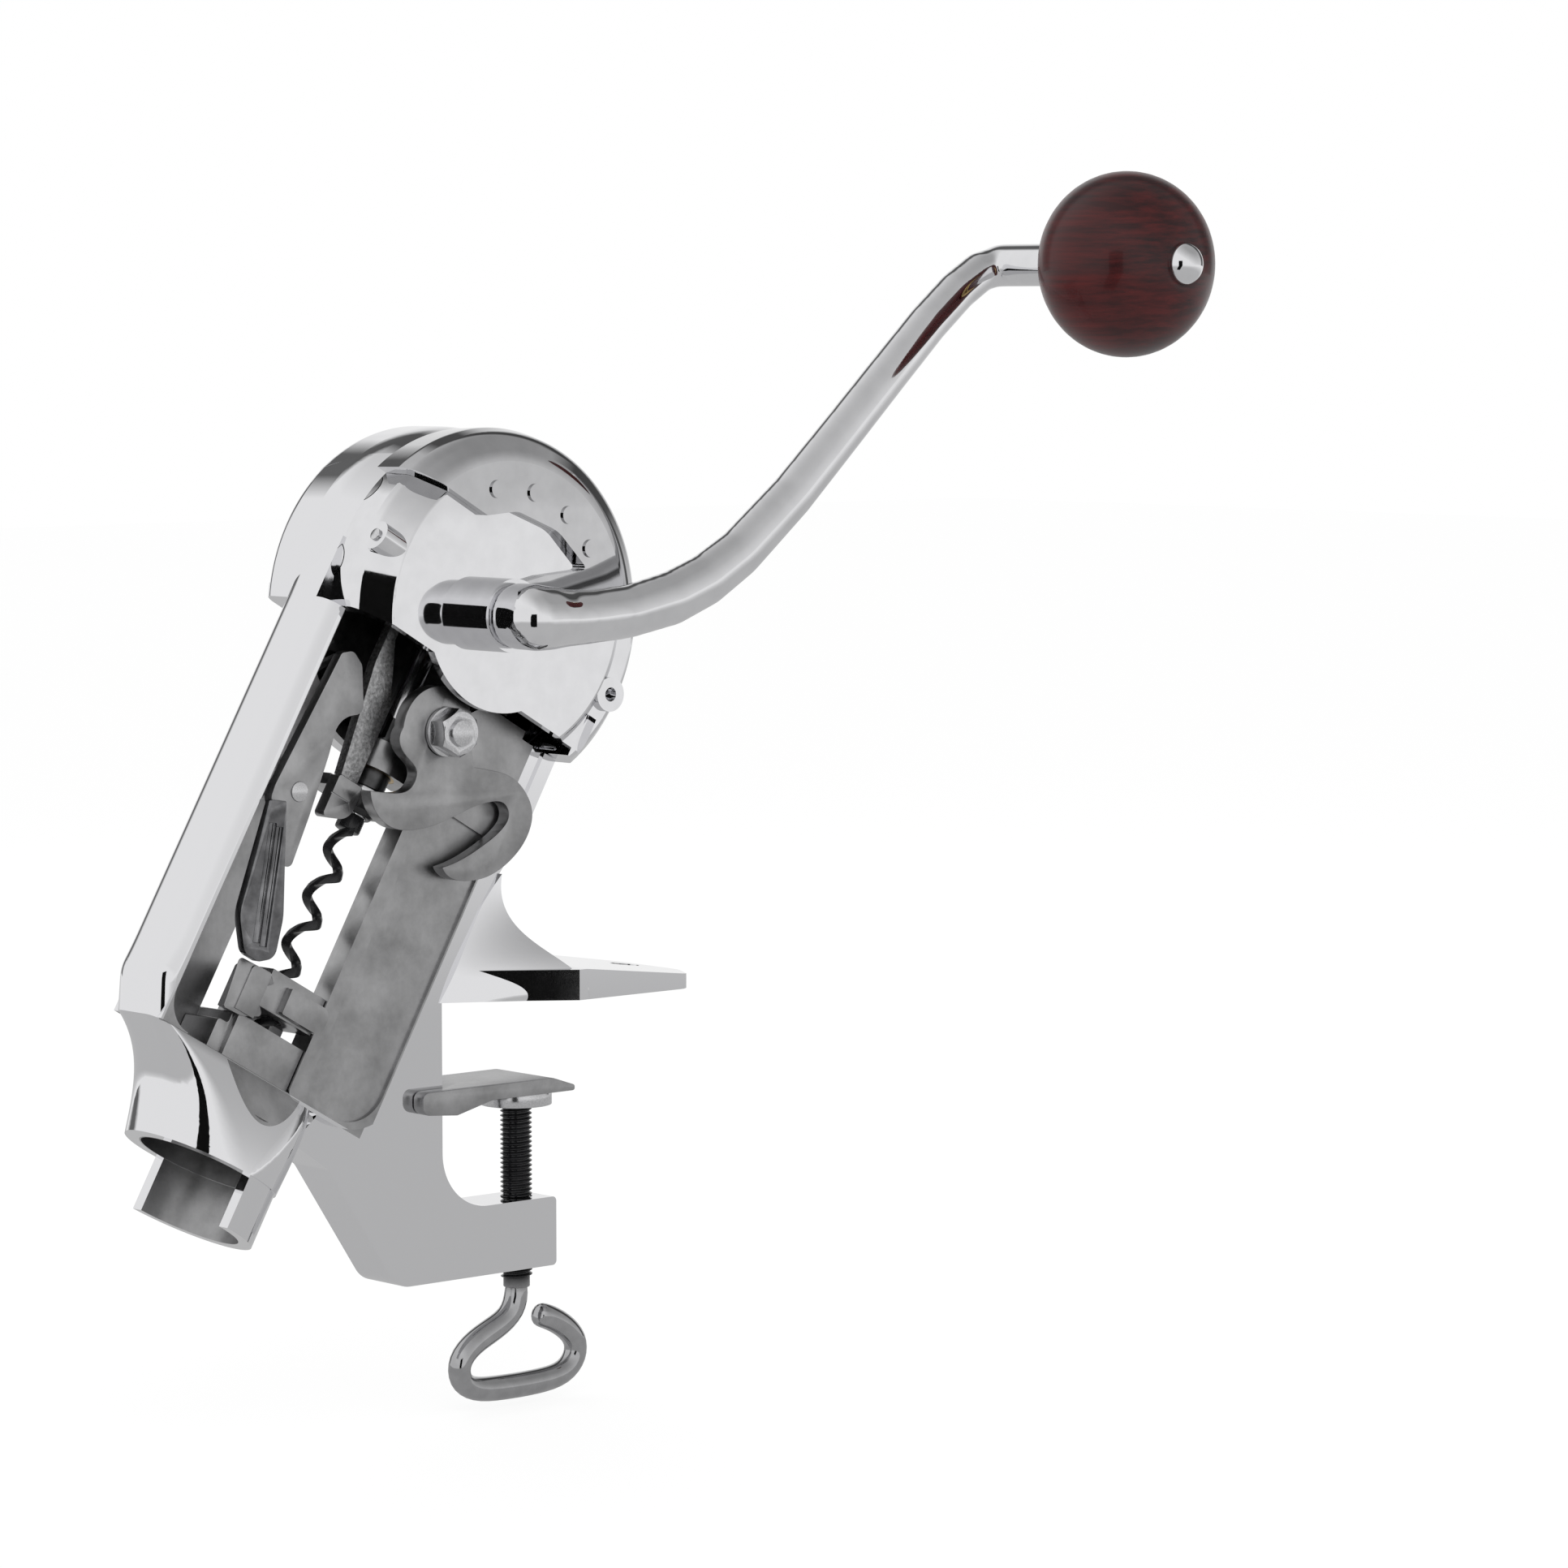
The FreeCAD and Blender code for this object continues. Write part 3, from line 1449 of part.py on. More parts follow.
def knob_washer():
    """Thin ring between the knob and the neck of the arm."""
    x, z = knob_place()
    near = -knob_plane + knob_half_length + seat_gap
    ring = pin_y(x, z, neck_radius + knob_washer_rim, near, near + washer_thickness - seat_gap)
    return ring.cut(pin_y(x, z, knob_pin_radius, -knob_plane, 0))


def knob_pin():
    """Pin of the knob with its domed cap."""
    x, z = knob_place()
    front = -knob_plane - knob_half_length
    pin = pin_y(x, z, knob_pin_radius, front, -arm_plane - neck_radius)
    cap = turned_y([
        (0, front),
        (knob_cap_radius, front, knob_cap_rim_round),
        (knob_cap_radius, front - knob_cap_edge, knob_cap_round / 3),
        (knob_cap_radius * 0.6, front - knob_cap_shoulder, knob_cap_round),
        (0, front - knob_cap_height),
    ], x, z)
    return pin.fuse(cap)


PIECES = [
    gear_case, left_rail, back_wall, web_panel, bottle_bell, clamp_arm, foot_flange,
    rear_hood, front_cover, cover_hood, cover_rivet, neck_block,
    crank_shaft, shaft_bush, rear_bush, shaft_circlip, spindle_pinion, pinion_bush, crown_gear, feed_gear,
    rack_bar, carriage, worm_collar, spindle, thrust_ring, worm, worm_guide, guide_jaw,
    trip_lever, pivot_stud, pivot_washer, pivot_nut, latch_lever, latch_pin, gripper_leaf,
    clamp_screw, screw_flange, pressure_plate, crank_arm, wooden_knob, knob_washer, knob_pin,
]

os.makedirs("parts", exist_ok=True)
for make in PIECES:
    shape = make()
    if not shape.isValid() or len(shape.Solids) != 1:
        print("check", make.__name__, shape.isValid(), len(shape.Solids))
    shape.exportStep(os.path.join("parts", make.__name__ + ".step"))
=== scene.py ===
import json
import math
import bpy
from mathutils import Matrix, Vector

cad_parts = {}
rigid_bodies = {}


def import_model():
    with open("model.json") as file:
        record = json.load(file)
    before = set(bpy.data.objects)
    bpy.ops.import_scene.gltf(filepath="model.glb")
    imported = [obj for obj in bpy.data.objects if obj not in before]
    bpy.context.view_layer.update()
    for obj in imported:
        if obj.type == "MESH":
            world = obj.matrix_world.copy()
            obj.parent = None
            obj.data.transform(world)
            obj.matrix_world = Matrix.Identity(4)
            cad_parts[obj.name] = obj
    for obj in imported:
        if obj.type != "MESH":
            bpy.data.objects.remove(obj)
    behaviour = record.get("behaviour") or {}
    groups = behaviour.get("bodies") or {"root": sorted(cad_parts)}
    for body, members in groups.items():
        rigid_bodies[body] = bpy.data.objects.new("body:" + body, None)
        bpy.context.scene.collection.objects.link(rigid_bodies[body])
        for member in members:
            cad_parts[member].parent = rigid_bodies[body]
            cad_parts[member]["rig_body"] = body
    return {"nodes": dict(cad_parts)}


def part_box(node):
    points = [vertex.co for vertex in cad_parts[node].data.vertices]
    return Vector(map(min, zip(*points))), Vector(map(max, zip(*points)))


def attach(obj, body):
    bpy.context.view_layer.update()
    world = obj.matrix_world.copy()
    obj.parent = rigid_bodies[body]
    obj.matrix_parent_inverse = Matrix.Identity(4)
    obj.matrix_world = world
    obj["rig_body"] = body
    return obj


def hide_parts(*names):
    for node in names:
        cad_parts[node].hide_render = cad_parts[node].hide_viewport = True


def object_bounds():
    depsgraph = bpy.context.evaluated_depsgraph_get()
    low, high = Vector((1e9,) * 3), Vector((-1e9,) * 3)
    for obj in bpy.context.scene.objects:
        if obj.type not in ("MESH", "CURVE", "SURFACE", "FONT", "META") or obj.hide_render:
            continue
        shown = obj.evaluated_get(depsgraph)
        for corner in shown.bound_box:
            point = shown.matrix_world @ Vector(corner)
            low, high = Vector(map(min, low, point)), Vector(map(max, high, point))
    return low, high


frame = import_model()
cad_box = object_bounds()

bl_info = {
    "name": "Counter corkscrew dresser",
    "version": (1, 0, 0),
    "blender": (4, 5, 0),
    "location": "View3D > Sidebar > Corkscrew",
    "description": "Finishes the pieces of a counter mount corkscrew and lights them",
    "category": "Object",
}

MM = 0.001

# Leaning frame of the head, as in the part's source: p across, w down along the worm axis
LEAN = math.radians(30.0)
SHAFT = Vector((-28.3, 0.0, 119.6)) * MM
LEANING = Matrix.Translation(SHAFT) @ Matrix.Rotation(LEAN, 4, "Y")

# Photograph's camera: turned about +Z, tilted down, focal length in pixels of the 1932 pixel frame
IMAGE_SIDE = 1932
FOCAL_PIXELS = 6719.0
CAMERA_TURN = math.radians(-42.1)
CAMERA_TILT = math.radians(4.94)
AIM_POINT = Vector((-36.4, -9.0, 0.0)) * MM
AIM_PIXEL = (545.0, 1233.7)
AIM_DISTANCE = 1.680
SENSOR = 36.0

# Studio: directions that mirror rays find darker, floor and cards in metres, levels of light
GREY_SKY = (0.52, -0.24, 0.82)
FORWARD = (0.67, 0.74, -0.09)
FLOOR_SIZE = 12.0
FLOOR_DROP = 0.002
FLOOR_SHARE = 0.8
FLOOR_SHOWN = 1.08
MIRROR_NEAR = 0.46
MIRROR_RISE = 0.5
SKY_LEVEL = 0.9
FILL_LEVEL = 0.75
CARD_LIFT = 0.004
CARD_START = 0.55
CARD_END = 1.95
CARD_START_HALF = 0.1
CARD_HALF = 0.34
CARD_TOP = 0.75

# Satin zone of the casting in the leaning frame, in millimetres: the window, and the bell below it
WINDOW_LEFT = -42.15
WINDOW_RIGHT = 44.6
WINDOW_TOP = 20.0
WINDOW_FLOOR = 157.9
WINDOW_BACK = 11.9
BELL_TOP = 158.2
BELL_RADIUS = 19.8

# Clamp screw in millimetres: top and end of its thread, and where the bar below turns bright
SCREW_TOP = -29.8
SCREW_END = -94.4
BRIGHT_START = 91.0
BRIGHT_FULL = 96.0

# Copies: angle between faces that counts as an edge, and width of its broken edge
EDGE_ANGLE = 32.0
TURNED_EDGE = 0.15 * MM
LEAF_EDGE = 0.5 * MM

# Nodes by finish: casting, head and gears are painted as they are, the others are copied and bevelled
CASTING_NODES = ("gear_case", "left_rail", "back_wall", "web_panel", "bottle_bell", "clamp_arm",
                 "foot_flange")
HEAD_NODES = ("rear_hood", "front_cover", "cover_hood")
SATIN_COPIES = ("neck_block", "carriage", "worm_guide", "trip_lever", "latch_lever", "pressure_plate",
                "guide_jaw")
GEAR_NODES = ("spindle_pinion", "crown_gear", "feed_gear")
STEEL_COPIES = ("cover_rivet", "crank_shaft", "shaft_circlip", "spindle", "thrust_ring", "pivot_stud",
                "pivot_washer", "pivot_nut", "latch_pin", "screw_flange")
BRASS_COPIES = ("shaft_bush", "rear_bush", "pinion_bush", "knob_washer")


# Properties

class CorkscrewSizes(bpy.types.PropertyGroup):
    """Sizes that the dressed pieces take"""
    edge_round: bpy.props.FloatProperty(
        name="Edge round", description="Width of the broken edges on cast and cut pieces",
        default=0.35 * MM, min=0.0, unit="LENGTH")
    thread_pitch: bpy.props.FloatProperty(
        name="Thread pitch", description="Pitch of the clamp screw", default=1.5 * MM, unit="LENGTH")
    thread_depth: bpy.props.FloatProperty(
        name="Thread depth", description="Depth of the clamp screw's thread",
        default=0.85 * MM, unit="LENGTH")
    thread_radius: bpy.props.FloatProperty(
        name="Thread radius", description="Outer radius of the clamp screw", default=5.0 * MM, unit="LENGTH")
    eye_wire: bpy.props.FloatProperty(
        name="Eye wire", description="Radius of the bent bar of the clamp screw",
        default=3.9 * MM, unit="LENGTH")
    worm_lead: bpy.props.FloatProperty(
        name="Worm lead", description="Advance of the worm for each turn", default=16.0 * MM, unit="LENGTH")
    worm_outer: bpy.props.FloatProperty(
        name="Worm outer radius", description="Outer radius of the worm", default=4.75 * MM, unit="LENGTH")
    worm_core: bpy.props.FloatProperty(
        name="Worm core radius", description="Open radius inside the worm", default=1.7 * MM, unit="LENGTH")
    knob_radius: bpy.props.FloatProperty(
        name="Knob radius", description="Largest radius of the wooden knob", default=29.4 * MM, unit="LENGTH")
    knob_half: bpy.props.FloatProperty(
        name="Knob half length", description="Half the length of the wooden knob",
        default=26.0 * MM, unit="LENGTH")
    arm_plane: bpy.props.FloatProperty(
        name="Arm depth", description="Distance of the arm in front of the middle plane",
        default=45.5 * MM, unit="LENGTH")


class CorkscrewColours(bpy.types.PropertyGroup):
    """Colours and gloss of the finishes"""
    chrome: bpy.props.FloatVectorProperty(
        name="Chrome", description="Colour of the polished plating", subtype="COLOR", size=3,
        default=(0.80, 0.80, 0.815), min=0.0, max=1.0)
    satin: bpy.props.FloatVectorProperty(
        name="Satin steel", description="Colour of the ground faces", subtype="COLOR", size=3,
        default=(0.42, 0.42, 0.425), min=0.0, max=1.0)
    black: bpy.props.FloatVectorProperty(
        name="Black steel", description="Colour of the blackened steel", subtype="COLOR", size=3,
        default=(0.012, 0.012, 0.013), min=0.0, max=1.0)
    brass: bpy.props.FloatVectorProperty(
        name="Brass", description="Colour of the bushes", subtype="COLOR", size=3,
        default=(0.60, 0.43, 0.19), min=0.0, max=1.0)
    wood_dark: bpy.props.FloatVectorProperty(
        name="Dark wood", description="Dark tone of the stained knob", subtype="COLOR", size=3,
        default=(0.012, 0.002, 0.003), min=0.0, max=1.0)
    wood_light: bpy.props.FloatVectorProperty(
        name="Light wood", description="Light tone of the stained knob", subtype="COLOR", size=3,
        default=(0.11, 0.008, 0.008), min=0.0, max=1.0)
    floor: bpy.props.FloatVectorProperty(
        name="Floor", description="Colour of the floor", subtype="COLOR", size=3,
        default=(0.86, 0.86, 0.86), min=0.0, max=1.0)


# Shader maths

class Value:
    """A shader value whose arithmetic adds Math nodes"""

    def __init__(self, look, socket):
        self.look = look
        self.socket = socket

    def math(self, operation, *values):
        inputs = dict(enumerate(values))
        return self.look.node("ShaderNodeMath", {"operation": operation}, inputs)

    def __add__(self, other):
        return self.math("ADD", self, other)

    def __radd__(self, other):
        return self.math("ADD", other, self)

    def __sub__(self, other):
        return self.math("SUBTRACT", self, other)

    def __rsub__(self, other):
        return self.math("SUBTRACT", other, self)

    def __mul__(self, other):
        return self.math("MULTIPLY", self, other)

    def __rmul__(self, other):
        return self.math("MULTIPLY", other, self)

    def __gt__(self, other):
        return self.math("GREATER_THAN", self, other)

    def __lt__(self, other):
        return self.math("LESS_THAN", self, other)

    def ramp(self, low, high):
        """0 below low and 1 above high, straight between"""
        inputs = {"Value": self, "From Min": low, "From Max": high}
        return self.look.node("ShaderNodeMapRange", {"clamp": True}, inputs)


class Look:
    """A material or world that is put together node by node"""

    def __init__(self, owner, shader="BSDF_PRINCIPLED"):
        owner.use_nodes = True
        self.owner = owner
        self.tree = owner.node_tree
        self.shader = next(n for n in self.tree.nodes if n.type == shader)
        self.place = None

    def node(self, kind, settings, inputs, output=0):
        """Adds a node: its settings first, then the values or links of its sockets"""
        made = self.tree.nodes.new(kind)
        for key, value in settings.items():
            setattr(made, key, value)
        for key, value in inputs.items():
            self.feed(made.inputs[key], value)
        return Value(self, made.outputs[output])

    def feed(self, socket, value):
        if isinstance(value, Value):
            self.tree.links.new(value.socket, socket)
        else:
            socket.default_value = value

    def point(self):
        """Object coordinates in metres"""
        if self.place is None:
            self.place = self.node("ShaderNodeTexCoord", {}, {}, "Object")
        return self.place

    def axes(self):
        """The three object coordinates, in millimetres"""
        split = self.tree.nodes.new("ShaderNodeSeparateXYZ")
        self.feed(split.inputs[0], self.point())
        return [Value(self, out) * (1 / MM) for out in split.outputs]

    def stretched(self, x, y, z):
        """Object coordinates scaled along each axis"""
        return self.node("ShaderNodeMapping", {}, {"Vector": self.point(), "Scale": (x, y, z)})

    def noise(self, scale, detail=3.0, rough=0.5, vector=None):
        inputs = {"Vector": vector or self.point(), "Scale": scale, "Detail": detail, "Roughness": rough}
        return self.node("ShaderNodeTexNoise", {}, inputs, 0)

    def mixed(self, share, first, second):
        """Colour between two, by share"""
        made = self.tree.nodes.new("ShaderNodeMix")
        made.data_type = "RGBA"
        self.feed(made.inputs[0], share)
        self.feed(made.inputs[6], first)
        self.feed(made.inputs[7], second)
        return Value(self, made.outputs[2])

    def blended(self, share, first, second):
        """Number between two, by share"""
        return first + share * (second - first)

    def set(self, **sockets):
        """Values of the shader, by socket name with underscores"""
        for key, value in sockets.items():
            self.feed(self.shader.inputs[key.replace("_", " ")], value)
        return self.owner

    def bump(self, height, distance, strength=1.0):
        return self.node("ShaderNodeBump", {}, {"Height": height, "Distance": distance, "Strength": strength})


def new_look(name):
    return Look(bpy.data.materials.new(name))


def rgba(colour, factor=1.0):
    return (colour[0] * factor, colour[1] * factor, colour[2] * factor, 1.0)


def colours():
    return bpy.context.scene.corkscrew_colours


def sizes():
    return bpy.context.scene.corkscrew_sizes


def plated(name, high, low, haze_floor):
    """Mirror plating over a polished casting, with the faint wave of hand polishing"""
    look = new_look(name)
    wave = look.noise(22.0, 1.0)
    haze = look.noise(160.0, 3.0)
    tone = look.mixed(haze.ramp(0.35, 0.7), rgba(colours().chrome, high), rgba(colours().chrome, low))
    return look.set(Base_Color=tone, Metallic=1.0, Roughness=haze * 0.03 + haze_floor,
                    Normal=look.bump(wave, 0.0006, 0.35))


def polished_material():
    """Plating of the arm, the head and the cap of the pin"""
    return plated("Polished chrome", 1.0, 0.95, 0.025)


def hood_painted_shade_material():
    """Plating of the raised hood, its colour darkened with painted shade for the darker upper room that it
    mirrors
    """
    # Chrome colour at 0.74 and 0.68 of the plating is painted shade
    return plated("Hood chrome with painted shade", 0.74, 0.68, 0.03)


def satin_nodes(look):
    """Colour, roughness and height of a ground steel face"""
    grain = look.noise(1500.0, 2.0, 0.6)
    blotch = look.noise(70.0, 5.0, 0.62)
    streak = look.noise(1.0, 3.0, 0.6, look.stretched(900.0, 900.0, 110.0))
    tone = look.mixed(blotch.ramp(0.3, 0.72), rgba(colours().satin, 0.72), rgba(colours().satin, 1.25))
    rough = blotch * 0.16 + streak * 0.12 + 0.19
    height = grain * 0.6 + streak * 0.4
    return tone, rough, height


def satin_material():
    """Ground and tumbled steel"""
    look = new_look("Satin steel")
    tone, rough, height = satin_nodes(look)
    return look.set(Base_Color=tone, Metallic=1.0, Roughness=rough, Normal=look.bump(height, 0.0001, 0.5))


def casting_material():
    """Polished casting whose window and web stay satin"""
    look = new_look("Casting")
    x, y, z = look.axes()
    across = x - SHAFT.x / MM
    above = z - SHAFT.z / MM
    p = across * math.cos(LEAN) - above * math.sin(LEAN)
    w = -1.0 * (across * math.sin(LEAN) + above * math.cos(LEAN))
    inside = ((p > WINDOW_LEFT) * (p < WINDOW_RIGHT) * (w > WINDOW_TOP) * (w < WINDOW_FLOOR)
              * (y < WINDOW_BACK))
    skirt = (w > BELL_TOP) * (p * p + y * y < BELL_RADIUS * BELL_RADIUS)
    mask = look.node("ShaderNodeMath", {"operation": "MAXIMUM"}, {0: inside, 1: skirt})
    wave = look.noise(22.0, 1.0)
    haze = look.noise(160.0, 3.0)
    tone, rough, height = satin_nodes(look)
    colour = look.mixed(mask, rgba(colours().chrome), tone)
    roughness = look.blended(mask, haze * 0.03 + 0.025, rough)
    relief = look.blended(mask, wave * 2.0, height * 0.5)
    return look.set(Base_Color=colour, Metallic=1.0, Roughness=roughness,
                    Normal=look.bump(relief, 0.0001, 0.5))


def steel_material():
    """Turned and plated steel of the small pieces"""
    look = new_look("Turned steel")
    ring = look.noise(2200.0, 2.0)
    tone = look.mixed(ring.ramp(0.3, 0.7), rgba(colours().chrome, 0.72), rgba(colours().chrome, 0.9))
    return look.set(Base_Color=tone, Metallic=1.0, Roughness=ring * 0.1 + 0.13)


def gear_painted_shade_material():
    """Dark steel of the gears inside the head, its colour darkened with painted shade of the enclosed head"""
    look = new_look("Gear steel with painted shade")
    smear = look.noise(240.0, 3.0)
    # Chrome colour at a tenth to a fifth is painted shade inside the head
    tone = look.mixed(smear.ramp(0.35, 0.7), rgba(colours().chrome, 0.10), rgba(colours().chrome, 0.18))
    return look.set(Base_Color=tone, Metallic=1.0, Roughness=smear * 0.12 + 0.3)


def rough_cast_material():
    """Bare cast bar with a coarse skin"""
    look = new_look("Rough casting")
    grit = look.noise(900.0, 4.0, 0.65)
    patch = look.noise(150.0, 3.0)
    tone = look.mixed(grit.ramp(0.35, 0.68), rgba(colours().satin, 0.7), rgba(colours().satin, 1.6))
    return look.set(Base_Color=tone, Metallic=1.0, Roughness=patch * 0.2 + 0.32,
                    Normal=look.bump(grit, 0.00035, 0.6))


def black_material():
    """Blackened and oiled steel"""
    look = new_look("Black steel")
    smear = look.noise(260.0, 3.0)
    tone = look.mixed(smear.ramp(0.4, 0.75), rgba(colours().black), rgba(colours().black, 2.4))
    return look.set(Base_Color=tone, Metallic=0.0, Roughness=smear * 0.15 + 0.16, Specular_IOR_Level=0.4)


def leaf_material():
    """Polished leaf, dark but for a bright rim"""
    look = new_look("Dark plating")
    smear = look.noise(200.0, 3.0)
    tone = look.mixed(smear.ramp(0.35, 0.75), rgba((0.14, 0.14, 0.145)), rgba((0.30, 0.30, 0.31)))
    return look.set(Base_Color=tone, Metallic=1.0, Roughness=smear * 0.06 + 0.09)


def screw_material():
    """Black thread that turns into bright bar at the eye"""
    look = new_look("Clamp screw")
    bright = (0.0 - look.axes()[2]).ramp(BRIGHT_START, BRIGHT_FULL)
    smear = look.noise(240.0, 3.0)
    dark = look.mixed(smear.ramp(0.4, 0.75), rgba(colours().black), rgba(colours().black, 2.2))
    light = look.mixed(smear.ramp(0.35, 0.7), rgba(colours().chrome, 0.52), rgba(colours().chrome, 0.6))
    return look.set(Base_Color=look.mixed(bright, dark, light), Metallic=bright * 0.9 + 0.1,
                    Roughness=smear * 0.04 + 0.06)


def brass_material():
    """Turned brass"""
    look = new_look("Brass")
    film = look.noise(180.0, 4.0)
    tone = look.mixed(film.ramp(0.3, 0.75), rgba(colours().brass), rgba(colours().brass, 0.55))
    return look.set(Base_Color=tone, Metallic=1.0, Roughness=film * 0.2 + 0.2)


def wood_material():
    """Stained beech under clear lacquer"""
    look = new_look("Stained wood")
    grain = look.noise(1.0, 4.0, 0.6, look.stretched(120.0, 22.0, 620.0))
    pores = look.noise(1.0, 2.0, 0.5, look.stretched(900.0, 90.0, 2600.0))
    cloud = look.noise(26.0, 2.0)
    share = grain.ramp(0.36, 0.72) * 0.6 + cloud.ramp(0.35, 0.75) * 0.4
    tone = look.mixed(share, rgba(colours().wood_dark), rgba(colours().wood_light))
    tone = look.mixed(pores.ramp(0.62, 0.78) * 0.5, tone, rgba(colours().wood_dark, 0.5))
    return look.set(Base_Color=tone, Metallic=0.0, Roughness=grain * 0.12 + 0.3, Coat_Weight=0.2,
                    Coat_Roughness=0.06, Specular_IOR_Level=0.3, Normal=look.bump(grain, 0.0001, 0.25))


MATERIALS = {}


def finish(name):
    """A material by name, made when first asked for"""
    makers = {
        "polished": polished_material, "hood": hood_painted_shade_material, "gear": gear_painted_shade_material,
        "satin": satin_material, "casting": casting_material, "steel": steel_material,
        "rough": rough_cast_material, "black": black_material, "leaf": leaf_material,
        "screw": screw_material, "brass": brass_material, "wood": wood_material}
    if name not in MATERIALS:
        MATERIALS[name] = makers[name]()
    return MATERIALS[name]


# Modelling helpers

def only(piece):
    """Deselects everything else and makes a piece active"""
    if bpy.context.object and bpy.context.object.mode != "OBJECT":
        bpy.ops.object.mode_set(mode="OBJECT")
    bpy.ops.object.select_all(action="DESELECT")
    piece.select_set(True)
    bpy.context.view_layer.objects.active = piece


def paint(piece, material):
    """Makes a material the only one of a piece"""
    piece.data.materials.clear()
    piece.data.materials.append(material)


def apply_modifiers(piece):
    only(piece)
    for modifier in list(piece.modifiers):
        bpy.ops.object.modifier_apply(modifier=modifier.name)


def clean_normals(piece):
    """Merges doubled vertices and turns all faces outward"""
    only(piece)
    bpy.ops.object.mode_set(mode="EDIT")
    bpy.ops.mesh.select_all(action="SELECT")
    bpy.ops.mesh.remove_doubles(threshold=1e-6)
    bpy.ops.mesh.normals_make_consistent(inside=False)
    bpy.ops.object.mode_set(mode="OBJECT")


def smooth_shaded(piece, degrees):
    only(piece)
    bpy.ops.object.shade_smooth_by_angle(angle=math.radians(degrees))


def stand(piece):
    """Moves a piece drawn along the worm axis to its place, in its mesh"""
    piece.data.transform(LEANING)


def settle(piece, node, material, angle=40.0):
    """Shading, material and place on the body for a piece that takes over from a CAD node"""
    smooth_shaded(piece, angle)
    paint(piece, material)
    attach(piece, frame["nodes"][node]["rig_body"])
    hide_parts(node)


def refined_copy(node, material, edge=None):
    """Copy of a CAD node with merged faces, broken edges and smooth shading"""
    source = frame["nodes"][node]
    piece = bpy.data.objects.new(node + "_finished", source.data.copy())
    bpy.context.scene.collection.objects.link(piece)
    only(piece)
    bpy.ops.mesh.customdata_custom_splitnormals_clear()
    bpy.ops.object.mode_set(mode="EDIT")
    bpy.ops.mesh.select_all(action="SELECT")
    bpy.ops.mesh.remove_doubles(threshold=2e-6)
    bpy.ops.mesh.dissolve_limited(angle_limit=math.radians(0.4))
    bpy.ops.object.mode_set(mode="OBJECT")
    bevel = piece.modifiers.new("Broken edges", "BEVEL")
    bevel.width = edge or sizes().edge_round
    bevel.segments = 2
    bevel.limit_method = "ANGLE"
    bevel.angle_limit = math.radians(EDGE_ANGLE + 8.0)
    bevel.miter_outer = "MITER_ARC"
    apply_modifiers(piece)
    settle(piece, node, material, EDGE_ANGLE)


def ring_at(middle, across, depth, width, height, count=16):
    """Places of an oval ring about a point, in the plane of two directions"""
    places = []
    for i in range(count):
        turn = 2 * math.pi * i / count
        places.append(middle + across * (width / 2 * math.cos(turn)) + depth * (height / 2 * math.sin(turn)))
    return places


def extruded_bar(name, rings):
    """Bar made from a circle that is extruded from ring to ring in edit mode"""
    count = len(rings[0])
    bpy.ops.object.select_all(action="DESELECT")
    bpy.ops.mesh.primitive_circle_add(vertices=count, radius=1.0, fill_type="NGON")
    bar = bpy.context.object
    bar.name = name
    for vertex, place in zip(bar.data.vertices, rings[0]):
        vertex.co = place
    for ring in rings[1:]:
        bpy.ops.object.mode_set(mode="EDIT")
        bpy.ops.mesh.extrude_region_move()
        bpy.ops.object.mode_set(mode="OBJECT")
        moved = [v for v in bar.data.vertices if v.select]
        for vertex, place in zip(moved, ring):
            vertex.co = place
    return bar


# Operators

class CORKSCREW_OT_casting(bpy.types.Operator):
    """Polish the casting outside its window"""
    bl_idname = "corkscrew.casting"
    bl_label = "Casting"

    def execute(self, context):
        for node in CASTING_NODES:
            paint(frame["nodes"][node], finish("casting"))
        return {"FINISHED"}


class CORKSCREW_OT_head(bpy.types.Operator):
    """Polish the cover, its hood and the rear hood"""
    bl_idname = "corkscrew.head"
    bl_label = "Gear head"

    def execute(self, context):
        for node in HEAD_NODES:
            # The cover's hood takes the plating darkened with painted shade
            paint(frame["nodes"][node], finish("hood" if node == "cover_hood" else "polished"))
        return {"FINISHED"}


class CORKSCREW_OT_levers(bpy.types.Operator):
    """Finish the levers, the slides, the guide and the pressure plate"""
    bl_idname = "corkscrew.levers"
    bl_label = "Levers and slides"

    def execute(self, context):
        for node in SATIN_COPIES:
            refined_copy(node, finish("satin"))
        refined_copy("rack_bar", finish("rough"))
        refined_copy("gripper_leaf", finish("leaf"), LEAF_EDGE)
        return {"FINISHED"}


class CORKSCREW_OT_fittings(bpy.types.Operator):
    """Finish the gears, shafts, bushes and fasteners"""
    bl_idname = "corkscrew.fittings"
    bl_label = "Gears and fittings"

    def execute(self, context):
        for node in STEEL_COPIES:
            refined_copy(node, finish("steel"), TURNED_EDGE)
        for node in GEAR_NODES:
            # Gears take steel darkened with painted shade
            paint(frame["nodes"][node], finish("gear"))
        for node in BRASS_COPIES:
            refined_copy(node, finish("brass"), TURNED_EDGE)
        refined_copy("worm_collar", finish("black"), TURNED_EDGE)
        return {"FINISHED"}


class CORKSCREW_OT_stage(bpy.types.Operator):
    """Set up the floor, the lights and the camera"""
    bl_idname = "corkscrew.stage"
    bl_label = "Stage"

    def execute(self, context):
        floor_stage()
        black_cards()
        lamps()
        bright_world()
        camera()
        return {"FINISHED"}


def rays(look):
    """Shares of camera, mirror and transmission rays, as shader values"""
    path = look.node("ShaderNodeLightPath", {}, {}, "Is Camera Ray")
    outputs = path.socket.node.outputs
    return path, Value(look, outputs["Is Glossy Ray"]), Value(look, outputs["Is Transmission Ray"])


